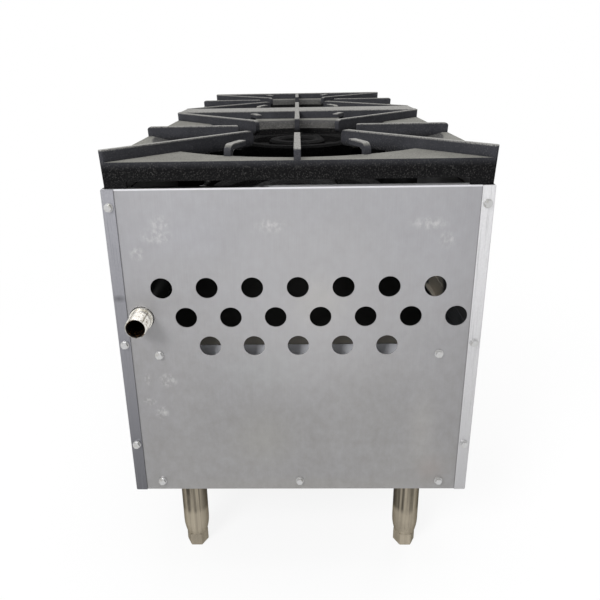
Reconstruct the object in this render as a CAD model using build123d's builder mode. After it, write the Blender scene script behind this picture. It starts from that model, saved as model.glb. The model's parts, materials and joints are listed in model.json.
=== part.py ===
from build123d import *
import os
from math import atan2, cos, degrees, hypot, radians, sin

os.makedirs("parts", exist_ok=True)

# A stock pot range with two open burners, one behind the other. Millimetres, +Z up, the user
# stands at -Y and the gas comes in at +Y. The origin is on the floor, under the middle of the
# whole object, from the knobs to the end of the gas inlet.

# Driving dimensions: casing
body_width = 457.2
body_height = 426.0  # skirt edge to deck
leg_height = 152.0  # floor to skirt edge
sheet = 1.2
wrap = 15.4  # the side panels' edges that lap over the rear and front panels
deck_lip = 32.0  # the side panels' folded top edges, which carry the grates
hem = 12.0  # the other folded edges
seat_gap = 0.2  # between sheets that lie side by side
pan_height = 25.0  # base pan above the skirt edge
pan_rim = 22.0

# Driving dimensions: vents and screws
vent_radius = 13.5
vent_row_pitch = 39.6
vent_top_row = 301.7  # above the skirt edge
vent_counts = (7, 8, 5)
screw_radius = 2.0
screw_length = 8.0
screw_flange_radius = 5.5
screw_flange_height = 1.2
screw_flats = 7.9
screw_head_height = 4.4
screw_clearance = 0.1
edge_screw_inset = 8.2
top_screw_inset = 21.5  # below the deck
rear_edge_screw_heights = (75.0, 225.5, body_height - top_screw_inset)
front_edge_screw_heights = (60.0, 140.0, 285.0, body_height - top_screw_inset)
pan_screw_height = 14.0
pan_screw_inset = 38.1
runner_screw_height = 210.0
runner_screw_inset = 50.6

# Driving dimensions: front
control_panel_bottom = 246.0  # above the skirt edge
lower_panel_top = 182.0
outer_knob_inset = 76.6
knob_radius = 24.0
knob_skirt_height = 9.0
knob_grip_radius = 18.5
knob_length = 34.0
knob_gap = 3.0
knob_bar_width = 11.0
stem_radius = 4.0
stem_hole_radius = 6.5
stem_socket = 26.0
running_clearance = 0.05
end_gap = 0.3  # between a shaft's end and the bottom of its bore

# Driving dimensions: grates
grate_side_gap = 1.0
grate_shift = 1.0  # the loose castings lie this far off the middle, towards -X
grate_length = 502.0
grate_height = 45.0
grate_ledge = 19.0  # the flat ledge along each casting's front
grate_seam = 2.0
grate_setback = 1.0
grate_draft = 2.6  # degrees
grate_lift = 8.5  # the rim clears the deck by this, between its feet
grate_foot = 29.0
grate_corner = 5.0
rim_wall = 6.6
plate_top = 31.0
plate_thickness = 8.0
bowl_edge = 7.6  # rim's outer face to the bowl
bowl_run = 45.0
bowl_drop = 11.0
bowl_lap = 3.0  # how far the bowl runs under the plate
bowl_thickness = 10.0
rib_width = 8.0
rib_depth = 21.5
rib_corner = 5.0  # the ribs' rounded outer ends
web_tip = 94.0
finger_tip = 95.0
cross_rib_tip = 90.0
spur_angle = 22.0
spur_reach = 38.0
spur_thickness = 6.5
spur_width = 9.0
spur_bend = 7.0
bar_width = 65.0
bar_thickness = 9.0
bar_edge = 3.0

# Driving dimensions: burners
burner_drop = 83.0  # burner rails' top faces, below the deck
burner_height = 34.0
burner_wall = 5.0
outer_ring_radius = 125.0
inner_ring_radius = 56.0
ring_width = 26.0
spoke_width = 20.0
spoke_height = 18.0
port_radius = 1.6
outer_port_count = 36
inner_port_count = 18
venturi_radius = 15.0
venturi_bore = 11.5
bell_radius = 22.0
bell_length = 22.0
bell_rim = 10.0
bell_face = 2.0
venturi_x = 52.0
mouth_reach = 165.0  # burner centre to venturi mouth
shutter_wall = 1.8
shutter_gap = 0.3
window_radius = 5.4
window_ring = 11.2
window_count = 3
eye_radius = 5.0
rail_width = 25.0
rail_depth = 20.0
rail_offset = 60.0
rail_sheet = 1.5

# Driving dimensions: gas line
inlet_inset = 32.95  # gas inlet from the side panel's face
inlet_reach = 30.0  # nipple beyond the rear panels' flanges
pipe_radius = 13.35
pipe_bore = 10.45
pipe_hole_radius = 15.7
coupling_radius = 14.9
coupling_length = 34.0
coupling_proud = 3.5
thread_grip = 12.0
thread_depth = 0.3
thread_runout = 0.5  # thread that shows beyond the coupling
elbow_radius = 17.6
elbow_bend = 20.0
elbow_arm = 30.0
manifold_drop = 38.0  # manifold below the burners' gas line
manifold_end_inset = 40.6
manifold_bend = 30.0
plug_wall = 3.0
plug_length = 12.0
valve_width = 26.0
valve_length = 28.0
valve_height = 28.0
valve_spigot_radius = 7.0
valve_boss_radius = 10.0
valve_boss_length = 8.0
stem_grip = 14.0
orifice_radius = 6.5
orifice_length = 16.0
orifice_bore = 1.2
orifice_gap = 3.0  # between an orifice's tip and its shutter
feed_radius = 4.8
feed_grip = 6.0
feed_bend = 30.0
feed_lead = 20.0
feed_pass = 18.0  # between the front burner and the feed tubes' middles
union_radius = 8.0
union_length = 24.0
union_lead = 9.0  # union ahead of its rail
pilot_tube_radius = 3.0
pilot_head_radius = 5.0
pilot_block = 12.0
pilot_socket = 3.0
pilot_gap = 6.0
pilot_lead = 40.0
pilot_pass = 16.0  # between the middles of the pilot's and the feed's tubes
pilot_bend = 18.0
bracket_gap = 10.0
bracket_thickness = 3.0
bracket_height = 40.0
bracket_foot = 16.0

# Driving dimensions: drip tray
tray_seat = 193.5  # runners' ledges, above the skirt edge
tray_wall = 15.2
tray_inset = 19.1
tray_rear_gap = 31.0
tray_face_top = 244.0
tray_face_bottom = 184.0
tray_face_inset = 6.6
tray_face_thickness = 1.5
tray_side_gap = 1.0
runner_ledge_lap = 27.5
runner_tab_height = 30.0
pull_radius = 5.0
pull_span = 130.0
pull_reach = 34.0
pull_bend = 14.0

# Driving dimensions: legs
leg_radius = 19.05
leg_wall = 1.5
leg_side_inset = 66.6
leg_inset = 66.0
leg_taper_bottom = 22.0
leg_taper_height = 24.0
leg_tip_radius = 15.6
leg_plug_height = 38.0
leg_plate = 80.0
leg_plate_thickness = 4.0
leg_bolt_radius = 4.0
leg_bolt_pitch = 56.0
leg_bolt_head_radius = 6.5
leg_bolt_head_height = 5.0
weld_nut_height = 6.0
foot_flats = 28.6
foot_chamfer = 1.5
foot_stud_radius = 6.0
foot_stud_length = 48.0
foot_gap = 0.3

# Worked out from these
half_width = body_width / 2
grate_half = half_width - grate_side_gap
body_depth = 2 * grate_length + bar_width + 2 * grate_seam + 2 * grate_setback
knob_reach = knob_gap - sheet + knob_length
rear_y = (body_depth + knob_reach - inlet_reach) / 2
front_y = rear_y - body_depth
seam_y = (rear_y + front_y) / 2
skirt_z = leg_height
deck_z = skirt_z + body_height
inner_x = half_width - sheet
rear_face_y = rear_y - sheet
front_face_y = front_y + sheet
field_half = (grate_length - grate_ledge) / 2
rear_burner_y = rear_y - grate_setback - field_half
front_burner_y = rear_burner_y - grate_length - bar_width - 2 * grate_seam
seat_z = deck_z - burner_drop
gas_z = seat_z + burner_height / 2
front_mouth_y = front_burner_y - mouth_reach
rear_mouth_y = rear_burner_y - mouth_reach
orifice_reach = shutter_gap + shutter_wall + orifice_gap + orifice_length
outlet_y = front_mouth_y - orifice_reach
manifold_y = outlet_y - valve_boss_length - valve_length / 2
manifold_z = gas_z - manifold_drop
manifold_end_x = half_width - manifold_end_inset
union_rail_y = rear_mouth_y - orifice_reach - union_lead
inlet_x = half_width - inlet_inset
inlet_z = skirt_z + vent_top_row - vent_row_pitch
vent_pitch = 2 * inlet_x / (vent_counts[1] - 1)
pan_z = skirt_z + pan_height
tray_z = skirt_z + tray_seat
tray_half = half_width - tray_inset
pan_screw_columns = (pan_screw_inset - half_width, 0, half_width - pan_screw_inset)
runner_screw_x = half_width - runner_screw_inset
outer_knob_x = half_width - outer_knob_inset
knob_columns = {
    "rear_outer": outer_knob_x,
    "front_outer": venturi_x,
    "front_inner": -venturi_x,
    "rear_inner": -outer_knob_x,
}


def save(piece, name):
    """Label a finished piece and write it."""
    piece.part.label = name
    export_step(piece.part, f"parts/{name}.step")


def slab(x, y, z, mode=Mode.ADD):
    """A block between the low and high ends given for each axis."""
    with Locations((sum(x) / 2, sum(y) / 2, sum(z) / 2)):
        Box(abs(x[1] - x[0]), abs(y[1] - y[0]), abs(z[1] - z[0]), mode=mode)


def rod(radius, start, end, mode=Mode.ADD):
    """A round bar from start to end."""
    run = Vector(end) - Vector(start)
    with Locations(Plane(origin=start, z_dir=run.normalized()).location):
        Cylinder(radius, run.length, align=(Align.CENTER, Align.CENTER, Align.MIN), mode=mode)


def upright(y):
    """The plane across the range at y, whose second direction is up."""
    return Plane.XZ.offset(-y)


def bent_rod(radius, points, bend, mode=Mode.ADD):
    """A round bar along points, with its corners rounded."""
    with BuildLine(mode=Mode.PRIVATE) as route:
        FilletPolyline(*points, radius=bend)
    start = Plane(origin=points[0], z_dir=(Vector(points[1]) - Vector(points[0])).normalized())
    with BuildSketch(start, mode=Mode.PRIVATE) as section:
        Circle(radius)
    sweep(section.sketch, path=route.line, mode=mode)


# Casing ---------------------------------------------------------------------------------------

rear_hem_y = rear_face_y - sheet - hem
front_hem_y = front_face_y + sheet + hem


def side_panel(name, side):
    """A side wall folded over at the front, rear, top and bottom."""
    wall = (side * inner_x, side * half_width)
    folded = (side * (half_width - wrap), side * half_width)
    lip = (side * (half_width - deck_lip), side * half_width)
    turned = (side * (half_width - hem), side * half_width)
    screw_x = side * (half_width - edge_screw_inset)
    hole = screw_radius + screw_clearance
    with BuildPart() as panel:
        slab(wall, (front_y, rear_y), (skirt_z, deck_z))
        slab(folded, (rear_face_y, rear_y), (skirt_z, deck_z))
        slab(folded, (front_y, front_face_y), (skirt_z, deck_z))
        slab(lip, (front_hem_y + seat_gap, rear_hem_y - seat_gap), (deck_z - sheet, deck_z))
        flange_y = (front_face_y + sheet + seat_gap, rear_face_y - sheet - seat_gap)
        slab(turned, flange_y, (skirt_z, skirt_z + sheet))
        for height in rear_edge_screw_heights:
            z = skirt_z + height
            rod(hole, (screw_x, rear_face_y, z), (screw_x, rear_y, z), Mode.SUBTRACT)
        for height in front_edge_screw_heights:
            z = skirt_z + height
            rod(hole, (screw_x, front_y, z), (screw_x, front_face_y, z), Mode.SUBTRACT)
    save(panel, name)


side_panel("left_side_panel", -1)
side_panel("right_side_panel", 1)

edge_screw_x = half_width - edge_screw_inset
panel_half = inner_x - seat_gap
screw_hole = screw_radius + screw_clearance

with BuildPart() as rear_panel:
    with BuildSketch(upright(rear_face_y)) as rear_outline:
        with Locations((0, (skirt_z + deck_z) / 2)):
            Rectangle(2 * panel_half, body_height)
        for row, count in enumerate(vent_counts):
            row_z = skirt_z + vent_top_row - row * vent_row_pitch
            row_end = vent_pitch * (count - 1) / 2
            for column in range(count):
                x = column * vent_pitch - row_end
                is_inlet = row_z == inlet_z and column == count - 1
                with Locations((x, row_z)):
                    Circle(pipe_hole_radius if is_inlet else vent_radius, mode=Mode.SUBTRACT)
        for side in (-1, 1):
            for height in rear_edge_screw_heights:
                with Locations((side * edge_screw_x, skirt_z + height)):
                    Circle(screw_hole, mode=Mode.SUBTRACT)
            with Locations((side * runner_screw_x, skirt_z + runner_screw_height)):
                Circle(screw_hole, mode=Mode.SUBTRACT)
        with Locations(*[(x, skirt_z + pan_screw_height) for x in pan_screw_columns]):
            Circle(screw_hole, mode=Mode.SUBTRACT)
    extrude(amount=sheet)
    slab((-panel_half, panel_half), (rear_hem_y, rear_face_y), (deck_z - sheet, deck_z))
save(rear_panel, "rear_panel")

with BuildPart() as control_panel:
    panel_bottom = skirt_z + control_panel_bottom
    with BuildSketch(upright(front_face_y + sheet)):
        with Locations((0, (panel_bottom + deck_z) / 2)):
            Rectangle(2 * panel_half, deck_z - panel_bottom)
        with Locations(*[(x, gas_z) for x in knob_columns.values()]):
            Circle(stem_hole_radius, mode=Mode.SUBTRACT)
        for side in (-1, 1):
            for height in front_edge_screw_heights[2:]:
                with Locations((side * edge_screw_x, skirt_z + height)):
                    Circle(screw_hole, mode=Mode.SUBTRACT)
    extrude(amount=sheet)
    for z in ((deck_z - sheet, deck_z), (panel_bottom, panel_bottom + sheet)):
        slab((-panel_half, panel_half), (front_face_y, front_hem_y), z)
save(control_panel, "control_panel")

with BuildPart() as lower_front_panel:
    panel_top = skirt_z + lower_panel_top
    with BuildSketch(upright(front_face_y + sheet)):
        with Locations((0, (skirt_z + panel_top) / 2)):
            Rectangle(2 * panel_half, lower_panel_top)
        for side in (-1, 1):
            for height in front_edge_screw_heights[:2]:
                with Locations((side * edge_screw_x, skirt_z + height)):
                    Circle(screw_hole, mode=Mode.SUBTRACT)
        with Locations(*[(x, skirt_z + pan_screw_height) for x in pan_screw_columns]):
            Circle(screw_hole, mode=Mode.SUBTRACT)
    extrude(amount=sheet)
    slab((-panel_half, panel_half), (front_face_y, front_hem_y), (panel_top - sheet, panel_top))
save(lower_front_panel, "lower_front_panel")

leg_spots = [
    (side * (half_width - leg_side_inset), y)
    for y in (rear_y - leg_inset, front_y + leg_inset)
    for side in (-1, 1)
]

with BuildPart() as base_pan:
    pan_ends = (front_face_y + sheet, rear_face_y - sheet)
    slab((-inner_x, inner_x), pan_ends, (pan_z, pan_z + sheet))
    rim_z = (pan_z - pan_rim, pan_z + sheet)
    for y in ((pan_ends[0], pan_ends[0] + sheet), (pan_ends[1] - sheet, pan_ends[1])):
        slab((-inner_x, inner_x), y, rim_z)
    for side in (-1, 1):
        slab((side * (inner_x - sheet), side * inner_x), pan_ends, rim_z)
    for x in pan_screw_columns:
        z = skirt_z + pan_screw_height
        rod(screw_hole, (x, front_y, z), (x, rear_y, z), Mode.SUBTRACT)
    with BuildSketch(Plane.XY.offset(pan_z + sheet)):
        with Locations(*leg_spots):
            with GridLocations(leg_bolt_pitch, leg_bolt_pitch, 2, 2):
                RegularPolygon(leg_bolt_head_radius, 6)
    extrude(amount=weld_nut_height)
    with BuildSketch(Plane.XY.offset(pan_z)):
        with Locations(*leg_spots):
            with GridLocations(leg_bolt_pitch, leg_bolt_pitch, 2, 2):
                Circle(leg_bolt_radius + running_clearance)
    extrude(amount=sheet + weld_nut_height, mode=Mode.SUBTRACT)
save(base_pan, "base_pan")


# Drip tray and its runners --------------------------------------------------------------------

guide_x = tray_half + tray_side_gap


def tray_runner(name, side):
    """A ledge along the side wall, with a guide lip and a tab screwed to the rear panel."""
    ends = (front_face_y + sheet, rear_face_y - sheet)
    with BuildPart() as runner:
        slab((side * (tray_half - runner_ledge_lap), side * inner_x), ends, (tray_z - sheet, tray_z))
        slab((side * guide_x, side * (guide_x + sheet)), ends, (tray_z, tray_z + tray_wall))
        tab_z = (tray_z - sheet, tray_z + runner_tab_height)
        slab((side * (inner_x - sheet), side * inner_x), ends, tab_z)
        slab((side * (runner_screw_x - hem), side * guide_x), (ends[1] - sheet, ends[1]), tab_z)
        z = skirt_z + runner_screw_height
        x = side * runner_screw_x
        rod(screw_hole, (x, ends[1] - sheet, z), (x, ends[1], z), Mode.SUBTRACT)
    save(runner, name)


tray_runner("left_tray_runner", -1)
tray_runner("right_tray_runner", 1)

with BuildPart() as drip_tray:
    tray_y = (front_y, rear_y - tray_rear_gap)
    slab((-tray_half, tray_half), tray_y, (tray_z, tray_z + tray_wall))
    hollow_x = (-tray_half + sheet, tray_half - sheet)
    slab(hollow_x, (tray_y[0], tray_y[1] - sheet), (tray_z + sheet, tray_z + tray_wall), Mode.SUBTRACT)
    face_x = (tray_face_inset - half_width, half_width - tray_face_inset)
    face_z = (skirt_z + tray_face_bottom, skirt_z + tray_face_top)
    slab(face_x, (front_y - tray_face_thickness, front_y), face_z)
save(drip_tray, "drip_tray")

with BuildPart() as tray_pull:
    pull_z = skirt_z + (tray_face_bottom + tray_face_top) / 2
    near_y = front_y - tray_face_thickness
    bar_y = front_y - pull_reach + pull_radius
    half_span = pull_span / 2
    corners = [(-half_span, near_y), (-half_span, bar_y), (half_span, bar_y), (half_span, near_y)]
    bent_rod(pull_radius, [(x, y, pull_z) for x, y in corners], pull_bend)
save(tray_pull, "tray_pull")


# Grates ---------------------------------------------------------------------------------------

grate_x = -grate_shift
grate_top = deck_z + grate_height
bowl_radius = min(grate_half, field_half) - bowl_edge
bowl_mouth_radius = bowl_radius - bowl_run
web_angle = degrees(atan2(field_half, grate_half))
web_root = hypot(grate_half, field_half)


def spoke_plane(burner_y, angle):
    """The upright plane through the bowl's axis at angle, with the deck as its zero height."""
    turn = radians(angle)
    outward = (cos(turn), sin(turn), 0)
    return Plane(origin=(grate_x, burner_y, deck_z), x_dir=outward, z_dir=(sin(turn), -cos(turn), 0))


def rib(plane, tip, root, tip_round):
    """An upright rib that runs from the rim in over the bowl to its tip."""
    bowl_low = plate_top - bowl_drop - bowl_thickness / 2
    rib_bottom = grate_height - rib_depth
    with BuildSketch(plane) as profile:
        with BuildLine():
            Polyline(
                (tip, grate_height),
                (root, grate_height),
                (root, plate_top - plate_thickness),
                (bowl_radius, plate_top - plate_thickness),
                (bowl_mouth_radius + bowl_thickness / 2, bowl_low),
                (bowl_mouth_radius, rib_bottom),
                (tip, rib_bottom),
                close=True,
            )
        make_face()
        fillet(vertices().group_by(Axis.X)[0], tip_round)
        fillet(vertices().group_by(Axis.X)[-1].sort_by(Axis.Y)[-1], rib_corner)
    extrude(profile.sketch, amount=rib_width / 2, both=True)


def spur(plane):
    """A short hooked strap that stands on the bowl's edge and points at the bowl's axis."""
    arm_height = grate_height - spur_thickness / 2
    post = bowl_radius + bowl_lap - spur_thickness / 2
    with BuildSketch(plane) as profile:
        with BuildLine():
            FilletPolyline(
                (bowl_radius - spur_reach, arm_height),
                (post, arm_height),
                (post, plate_top - plate_thickness),
                radius=spur_bend,
            )
        trace(line_width=spur_thickness)
    extrude(profile.sketch, amount=spur_width / 2, both=True)


def grate(name, burner_y):
    """A casting with a low rim at its rear, a ledge at its front and ribs round its bowl."""
    ends = (burner_y + field_half - grate_length, burner_y + field_half)
    sides = (grate_x - grate_half, grate_x + grate_half)
    middle = (grate_x, sum(ends) / 2)
    plate_z = (deck_z + plate_top - plate_thickness, deck_z + plate_top)
    with BuildPart() as casting:
        # Rim, from its clearance over the deck up to the plate, and the plate with its round opening
        with BuildSketch(Plane.XY.offset(deck_z + grate_lift)):
            with Locations(middle):
                Rectangle(2 * grate_half, grate_length)
                inside = (2 * (grate_half - rim_wall), grate_length - 2 * rim_wall)
                Rectangle(*inside, mode=Mode.SUBTRACT)
        extrude(amount=plate_top - grate_lift)
        with BuildSketch(Plane.XY.offset(plate_z[0])):
            with Locations((grate_x, burner_y)):
                Rectangle(2 * grate_half, 2 * field_half)
                Circle(bowl_radius, mode=Mode.SUBTRACT)
        extrude(amount=plate_thickness)
        # Bowl that falls from the plate to the round mouth over the burner
        with BuildSketch(spoke_plane(burner_y, 0)):
            with BuildLine():
                mouth_top = plate_top - bowl_drop
                Polyline(
                    (bowl_radius + bowl_lap, plate_top),
                    (bowl_radius, plate_top),
                    (bowl_mouth_radius, mouth_top),
                    (bowl_mouth_radius, mouth_top - bowl_thickness),
                    (bowl_mouth_radius + bowl_thickness, mouth_top - bowl_thickness),
                    (bowl_radius + bowl_lap, plate_top - plate_thickness),
                    close=True,
                )
            make_face()
        revolve(axis=Axis((grate_x, burner_y, 0), (0, 0, 1)))
        # Ledge, level with the ribs
        slab(sides, (ends[0], ends[0] + grate_ledge), (plate_z[0], grate_top))
        # Feet, which turn the four corners
        for side in (-1, 1):
            cheek_x = (grate_x + side * (grate_half - rim_wall), grate_x + side * grate_half)
            foot_x = (grate_x + side * (grate_half - grate_foot), grate_x + side * grate_half)
            for foot_y, inward in ((ends[1], -1), (ends[0], 1)):
                slab(cheek_x, (foot_y, foot_y + inward * grate_foot), (deck_z, plate_z[1]))
                slab(foot_x, (foot_y, foot_y + inward * rim_wall), (deck_z, plate_z[1]))
        for angle in (web_angle, 180 - web_angle):
            rib(spoke_plane(burner_y, angle), web_tip, web_root, rib_depth / 3)
        for angle in (180 + web_angle, -web_angle):
            rib(spoke_plane(burner_y, angle), web_tip, web_root + grate_ledge, rib_depth / 3)
        for angle in (0, 180):
            rib(spoke_plane(burner_y, angle), cross_rib_tip, grate_half, rib_depth / 8)
        rib(spoke_plane(burner_y, 90), finger_tip, field_half, rib_depth / 8)
        rib(spoke_plane(burner_y, -90), finger_tip, field_half + grate_ledge, rib_depth / 8)
        for side in (90, -90):
            for turn in (-spur_angle, spur_angle):
                spur(spoke_plane(burner_y, side + turn))
        # The casting's drafted outline trims every rib to the rim
        with BuildSketch(Plane(origin=(*middle, grate_top), z_dir=(0, 0, -1))):
            Rectangle(2 * grate_half, grate_length)
            fillet(vertices(), grate_corner)
        extrude(amount=grate_height, taper=grate_draft, mode=Mode.INTERSECT)
    save(casting, name)


grate("rear_grate", rear_burner_y)
grate("front_grate", front_burner_y)

with BuildPart() as center_bar:
    with BuildSketch(Plane.XY.offset(deck_z)):
        with Locations((grate_x, seam_y)):
            RectangleRounded(2 * grate_half, bar_width, grate_corner)
    extrude(amount=grate_height)
    fillet(edges().group_by(Axis.Z)[-1], bar_edge)
    with BuildSketch(Plane.XY.offset(deck_z)):
        with Locations((grate_x, seam_y)):
            Rectangle(2 * (grate_half - rim_wall), bar_width - 2 * rim_wall)
    extrude(amount=grate_height - bar_thickness, mode=Mode.SUBTRACT)
    with BuildSketch(Plane.XY.offset(deck_z)):
        with Locations((grate_x, seam_y)):
            Rectangle(2 * (grate_half - grate_foot), bar_width)
    extrude(amount=grate_lift, mode=Mode.SUBTRACT)
save(center_bar, "center_bar")


# Burners --------------------------------------------------------------------------------------


def cross_rail(name, y):
    """A channel from wall to wall that carries a burner."""
    with BuildPart() as rail:
        edges = (y - rail_width / 2, y + rail_width / 2)
        slab((-inner_x, inner_x), edges, (seat_z - rail_sheet, seat_z))
        for edge, inward in ((edges[0], 1), (edges[1], -1)):
            slab((-inner_x, inner_x), (edge, edge + inward * rail_sheet), (seat_z - rail_depth, seat_z))
    save(rail, name)


def ring(axis_y, radius):
    """A hollow burner ring on the rails."""
    with BuildSketch(upright(axis_y)) as profile:
        with Locations((radius, seat_z + burner_height / 2)):
            Rectangle(ring_width, burner_height)
        chamfer(vertices().group_by(Axis.Y)[-1], burner_wall)
    revolve(profile.sketch, axis=Axis((0, axis_y, 0), (0, 0, 1)))


def ring_bore(axis_y, radius, count):
    """The gas way inside a ring, and the ports over it."""
    with BuildSketch(upright(axis_y)) as profile:
        with Locations((radius, seat_z + burner_height / 2)):
            Rectangle(ring_width - 2 * burner_wall, burner_height - 2 * burner_wall)
    revolve(profile.sketch, axis=Axis((0, axis_y, 0), (0, 0, 1)), mode=Mode.SUBTRACT)
    with BuildSketch(Plane.XY.offset(seat_z + burner_height - burner_wall * 1.5)) as ports:
        with Locations((0, axis_y)):
            with PolarLocations(radius, count):
                Circle(port_radius)
    extrude(ports.sketch, amount=burner_wall * 2, mode=Mode.SUBTRACT)


def air_ports(x, face_y, depth):
    """The orifice's eye and three air windows, cut through a face towards the rear."""
    with BuildSketch(upright(face_y)) as ports:
        with Locations((x, gas_z)):
            Circle(eye_radius)
            with PolarLocations(window_ring, window_count, start_angle=90):
                Circle(window_radius)
    extrude(ports.sketch, amount=-depth, mode=Mode.SUBTRACT)


def burner(name, axis_y):
    """A casting with two rings, each with its own venturi towards the front."""
    mouth_y = axis_y - mouth_reach
    rim_y = mouth_y + bell_rim
    throat_y = rim_y + bell_length
    tube_ends = {venturi_x: axis_y - outer_ring_radius, -venturi_x: axis_y - inner_ring_radius / 2}
    with BuildPart() as casting:
        ring(axis_y, outer_ring_radius)
        ring(axis_y, inner_ring_radius)
        spoke_z = (seat_z + burner_wall, seat_z + burner_wall + spoke_height)
        reach = outer_ring_radius - ring_width / 4
        gap = inner_ring_radius + ring_width / 4
        for side in (-1, 1):
            slab((side * gap, side * reach), (axis_y - spoke_width / 2, axis_y + spoke_width / 2), spoke_z)
            slab((-spoke_width / 2, spoke_width / 2), (axis_y + side * gap, axis_y + side * reach), spoke_z)
        for x, end_y in tube_ends.items():
            rod(venturi_radius, (x, throat_y, gas_z), (x, end_y, gas_z))
            rod(bell_radius, (x, mouth_y, gas_z), (x, rim_y, gas_z))
            with BuildSketch(Plane(origin=(x, rim_y, gas_z), z_dir=(0, 1, 0))):
                Circle(bell_radius)
            with BuildSketch(Plane(origin=(x, throat_y, gas_z), z_dir=(0, 1, 0))):
                Circle(venturi_radius)
            loft()
        ring_bore(axis_y, outer_ring_radius, outer_port_count)
        ring_bore(axis_y, inner_ring_radius, inner_port_count)
        for x, end_y in tube_ends.items():
            rod(venturi_bore, (x, mouth_y + bell_face, gas_z), (x, end_y, gas_z), Mode.SUBTRACT)
            with BuildSketch(Plane(origin=(x, mouth_y + bell_face, gas_z), z_dir=(0, 1, 0))):
                Circle(bell_radius - burner_wall)
            with BuildSketch(Plane(origin=(x, throat_y, gas_z), z_dir=(0, 1, 0))):
                Circle(venturi_bore)
            loft(mode=Mode.SUBTRACT)
            air_ports(x, mouth_y, bell_face)
    save(casting, name)


def air_shutter(name, x, mouth_y):
    """A cap that turns on a venturi's mouth and lets the primary air in."""
    face_y = mouth_y - shutter_gap
    skirt_end = (x, mouth_y + bell_rim - shutter_gap, gas_z)
    cup_radius = bell_radius + running_clearance
    with BuildPart() as shutter:
        rod(cup_radius + shutter_wall, (x, face_y - shutter_wall, gas_z), skirt_end)
        rod(cup_radius, (x, face_y, gas_z), skirt_end, Mode.SUBTRACT)
        air_ports(x, face_y - shutter_wall, shutter_wall)
    save(shutter, name)


for burner_name, axis_y in (("rear", rear_burner_y), ("front", front_burner_y)):
    cross_rail(f"{burner_name}_burner_back_rail", axis_y + rail_offset)
    cross_rail(f"{burner_name}_burner_front_rail", axis_y - rail_offset)
    burner(f"{burner_name}_burner", axis_y)
    air_shutter(f"{burner_name}_outer_shutter", venturi_x, axis_y - mouth_reach)
    air_shutter(f"{burner_name}_inner_shutter", -venturi_x, axis_y - mouth_reach)


# Gas line -------------------------------------------------------------------------------------

coupling_end = rear_y + coupling_proud - coupling_length

with BuildPart() as inlet_nipple:
    nipple_start = (inlet_x, rear_y + coupling_proud - thread_grip, inlet_z)
    free_start = (inlet_x, rear_y + coupling_proud + thread_runout, inlet_z)
    nipple_end = (inlet_x, rear_y + inlet_reach, inlet_z)
    rod(pipe_radius, free_start, nipple_end)
    chamfer(edges().group_by(Axis.Y)[-1], sheet)
    rod(pipe_radius - thread_depth, nipple_start, free_start)
    rod(pipe_bore, nipple_start, nipple_end, Mode.SUBTRACT)
save(inlet_nipple, "inlet_nipple")

with BuildPart() as inlet_coupling:
    coupling_face = (inlet_x, rear_y + coupling_proud, inlet_z)
    rod(coupling_radius, (inlet_x, coupling_end, inlet_z), coupling_face)
    seat = pipe_radius - thread_depth + running_clearance
    rod(seat, (inlet_x, coupling_end, inlet_z), coupling_face, Mode.SUBTRACT)
save(inlet_coupling, "inlet_coupling")

with BuildPart() as supply_pipe:
    pipe_ends = [
        (inlet_x, manifold_y + elbow_arm - thread_grip, inlet_z),
        (inlet_x, coupling_end + thread_grip, inlet_z),
    ]
    rod(pipe_radius - thread_depth, *pipe_ends)
    rod(pipe_bore, *pipe_ends, Mode.SUBTRACT)
save(supply_pipe, "supply_pipe")

with BuildPart() as supply_elbow:
    elbow_route = [
        (inlet_x, manifold_y + elbow_arm, inlet_z),
        (inlet_x, manifold_y, inlet_z),
        (inlet_x, manifold_y, inlet_z + elbow_arm),
    ]
    bent_rod(elbow_radius, elbow_route, elbow_bend)
    bent_rod(pipe_radius + running_clearance, elbow_route, elbow_bend, Mode.SUBTRACT)
save(supply_elbow, "supply_elbow")

with BuildPart() as manifold_pipe:
    manifold_route = [
        (inlet_x, manifold_y, inlet_z + elbow_arm - thread_grip),
        (inlet_x, manifold_y, manifold_z),
        (-manifold_end_x, manifold_y, manifold_z),
    ]
    bent_rod(pipe_radius, manifold_route, manifold_bend)
    bent_rod(pipe_bore, manifold_route, manifold_bend, Mode.SUBTRACT)
    for x in knob_columns.values():
        hole = valve_spigot_radius + running_clearance
        over = (x, manifold_y, manifold_z + 2 * pipe_radius)
        rod(hole, (x, manifold_y, manifold_z), over, Mode.SUBTRACT)
save(manifold_pipe, "manifold_pipe")

with BuildPart() as manifold_plug:
    cup = pipe_radius + running_clearance
    plug_face = (-manifold_end_x - plug_wall, manifold_y, manifold_z)
    plug_mouth = (-manifold_end_x + plug_length - plug_wall, manifold_y, manifold_z)
    rod(cup + plug_wall, plug_face, plug_mouth)
    rod(cup, (-manifold_end_x, manifold_y, manifold_z), plug_mouth, Mode.SUBTRACT)
save(manifold_plug, "manifold_plug")

with BuildPart() as manifold_brackets:
    bracket_z = (manifold_z - bracket_height / 2, manifold_z + bracket_height / 2)
    wall_y = front_face_y + sheet
    bracket_x = outer_knob_x - valve_width / 2 - bracket_gap
    for side in (-1, 1):
        near_x = side * (bracket_x - bracket_thickness)
        slab((near_x, side * bracket_x), (wall_y, manifold_y + bracket_height / 2), bracket_z)
        slab((near_x, side * (bracket_x - bracket_foot)), (wall_y, wall_y + sheet), bracket_z)
    hole = pipe_radius + running_clearance
    ends = [(x, manifold_y, manifold_z) for x in (-half_width, half_width)]
    rod(hole, *ends, Mode.SUBTRACT)
save(manifold_brackets, "manifold_brackets")


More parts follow.
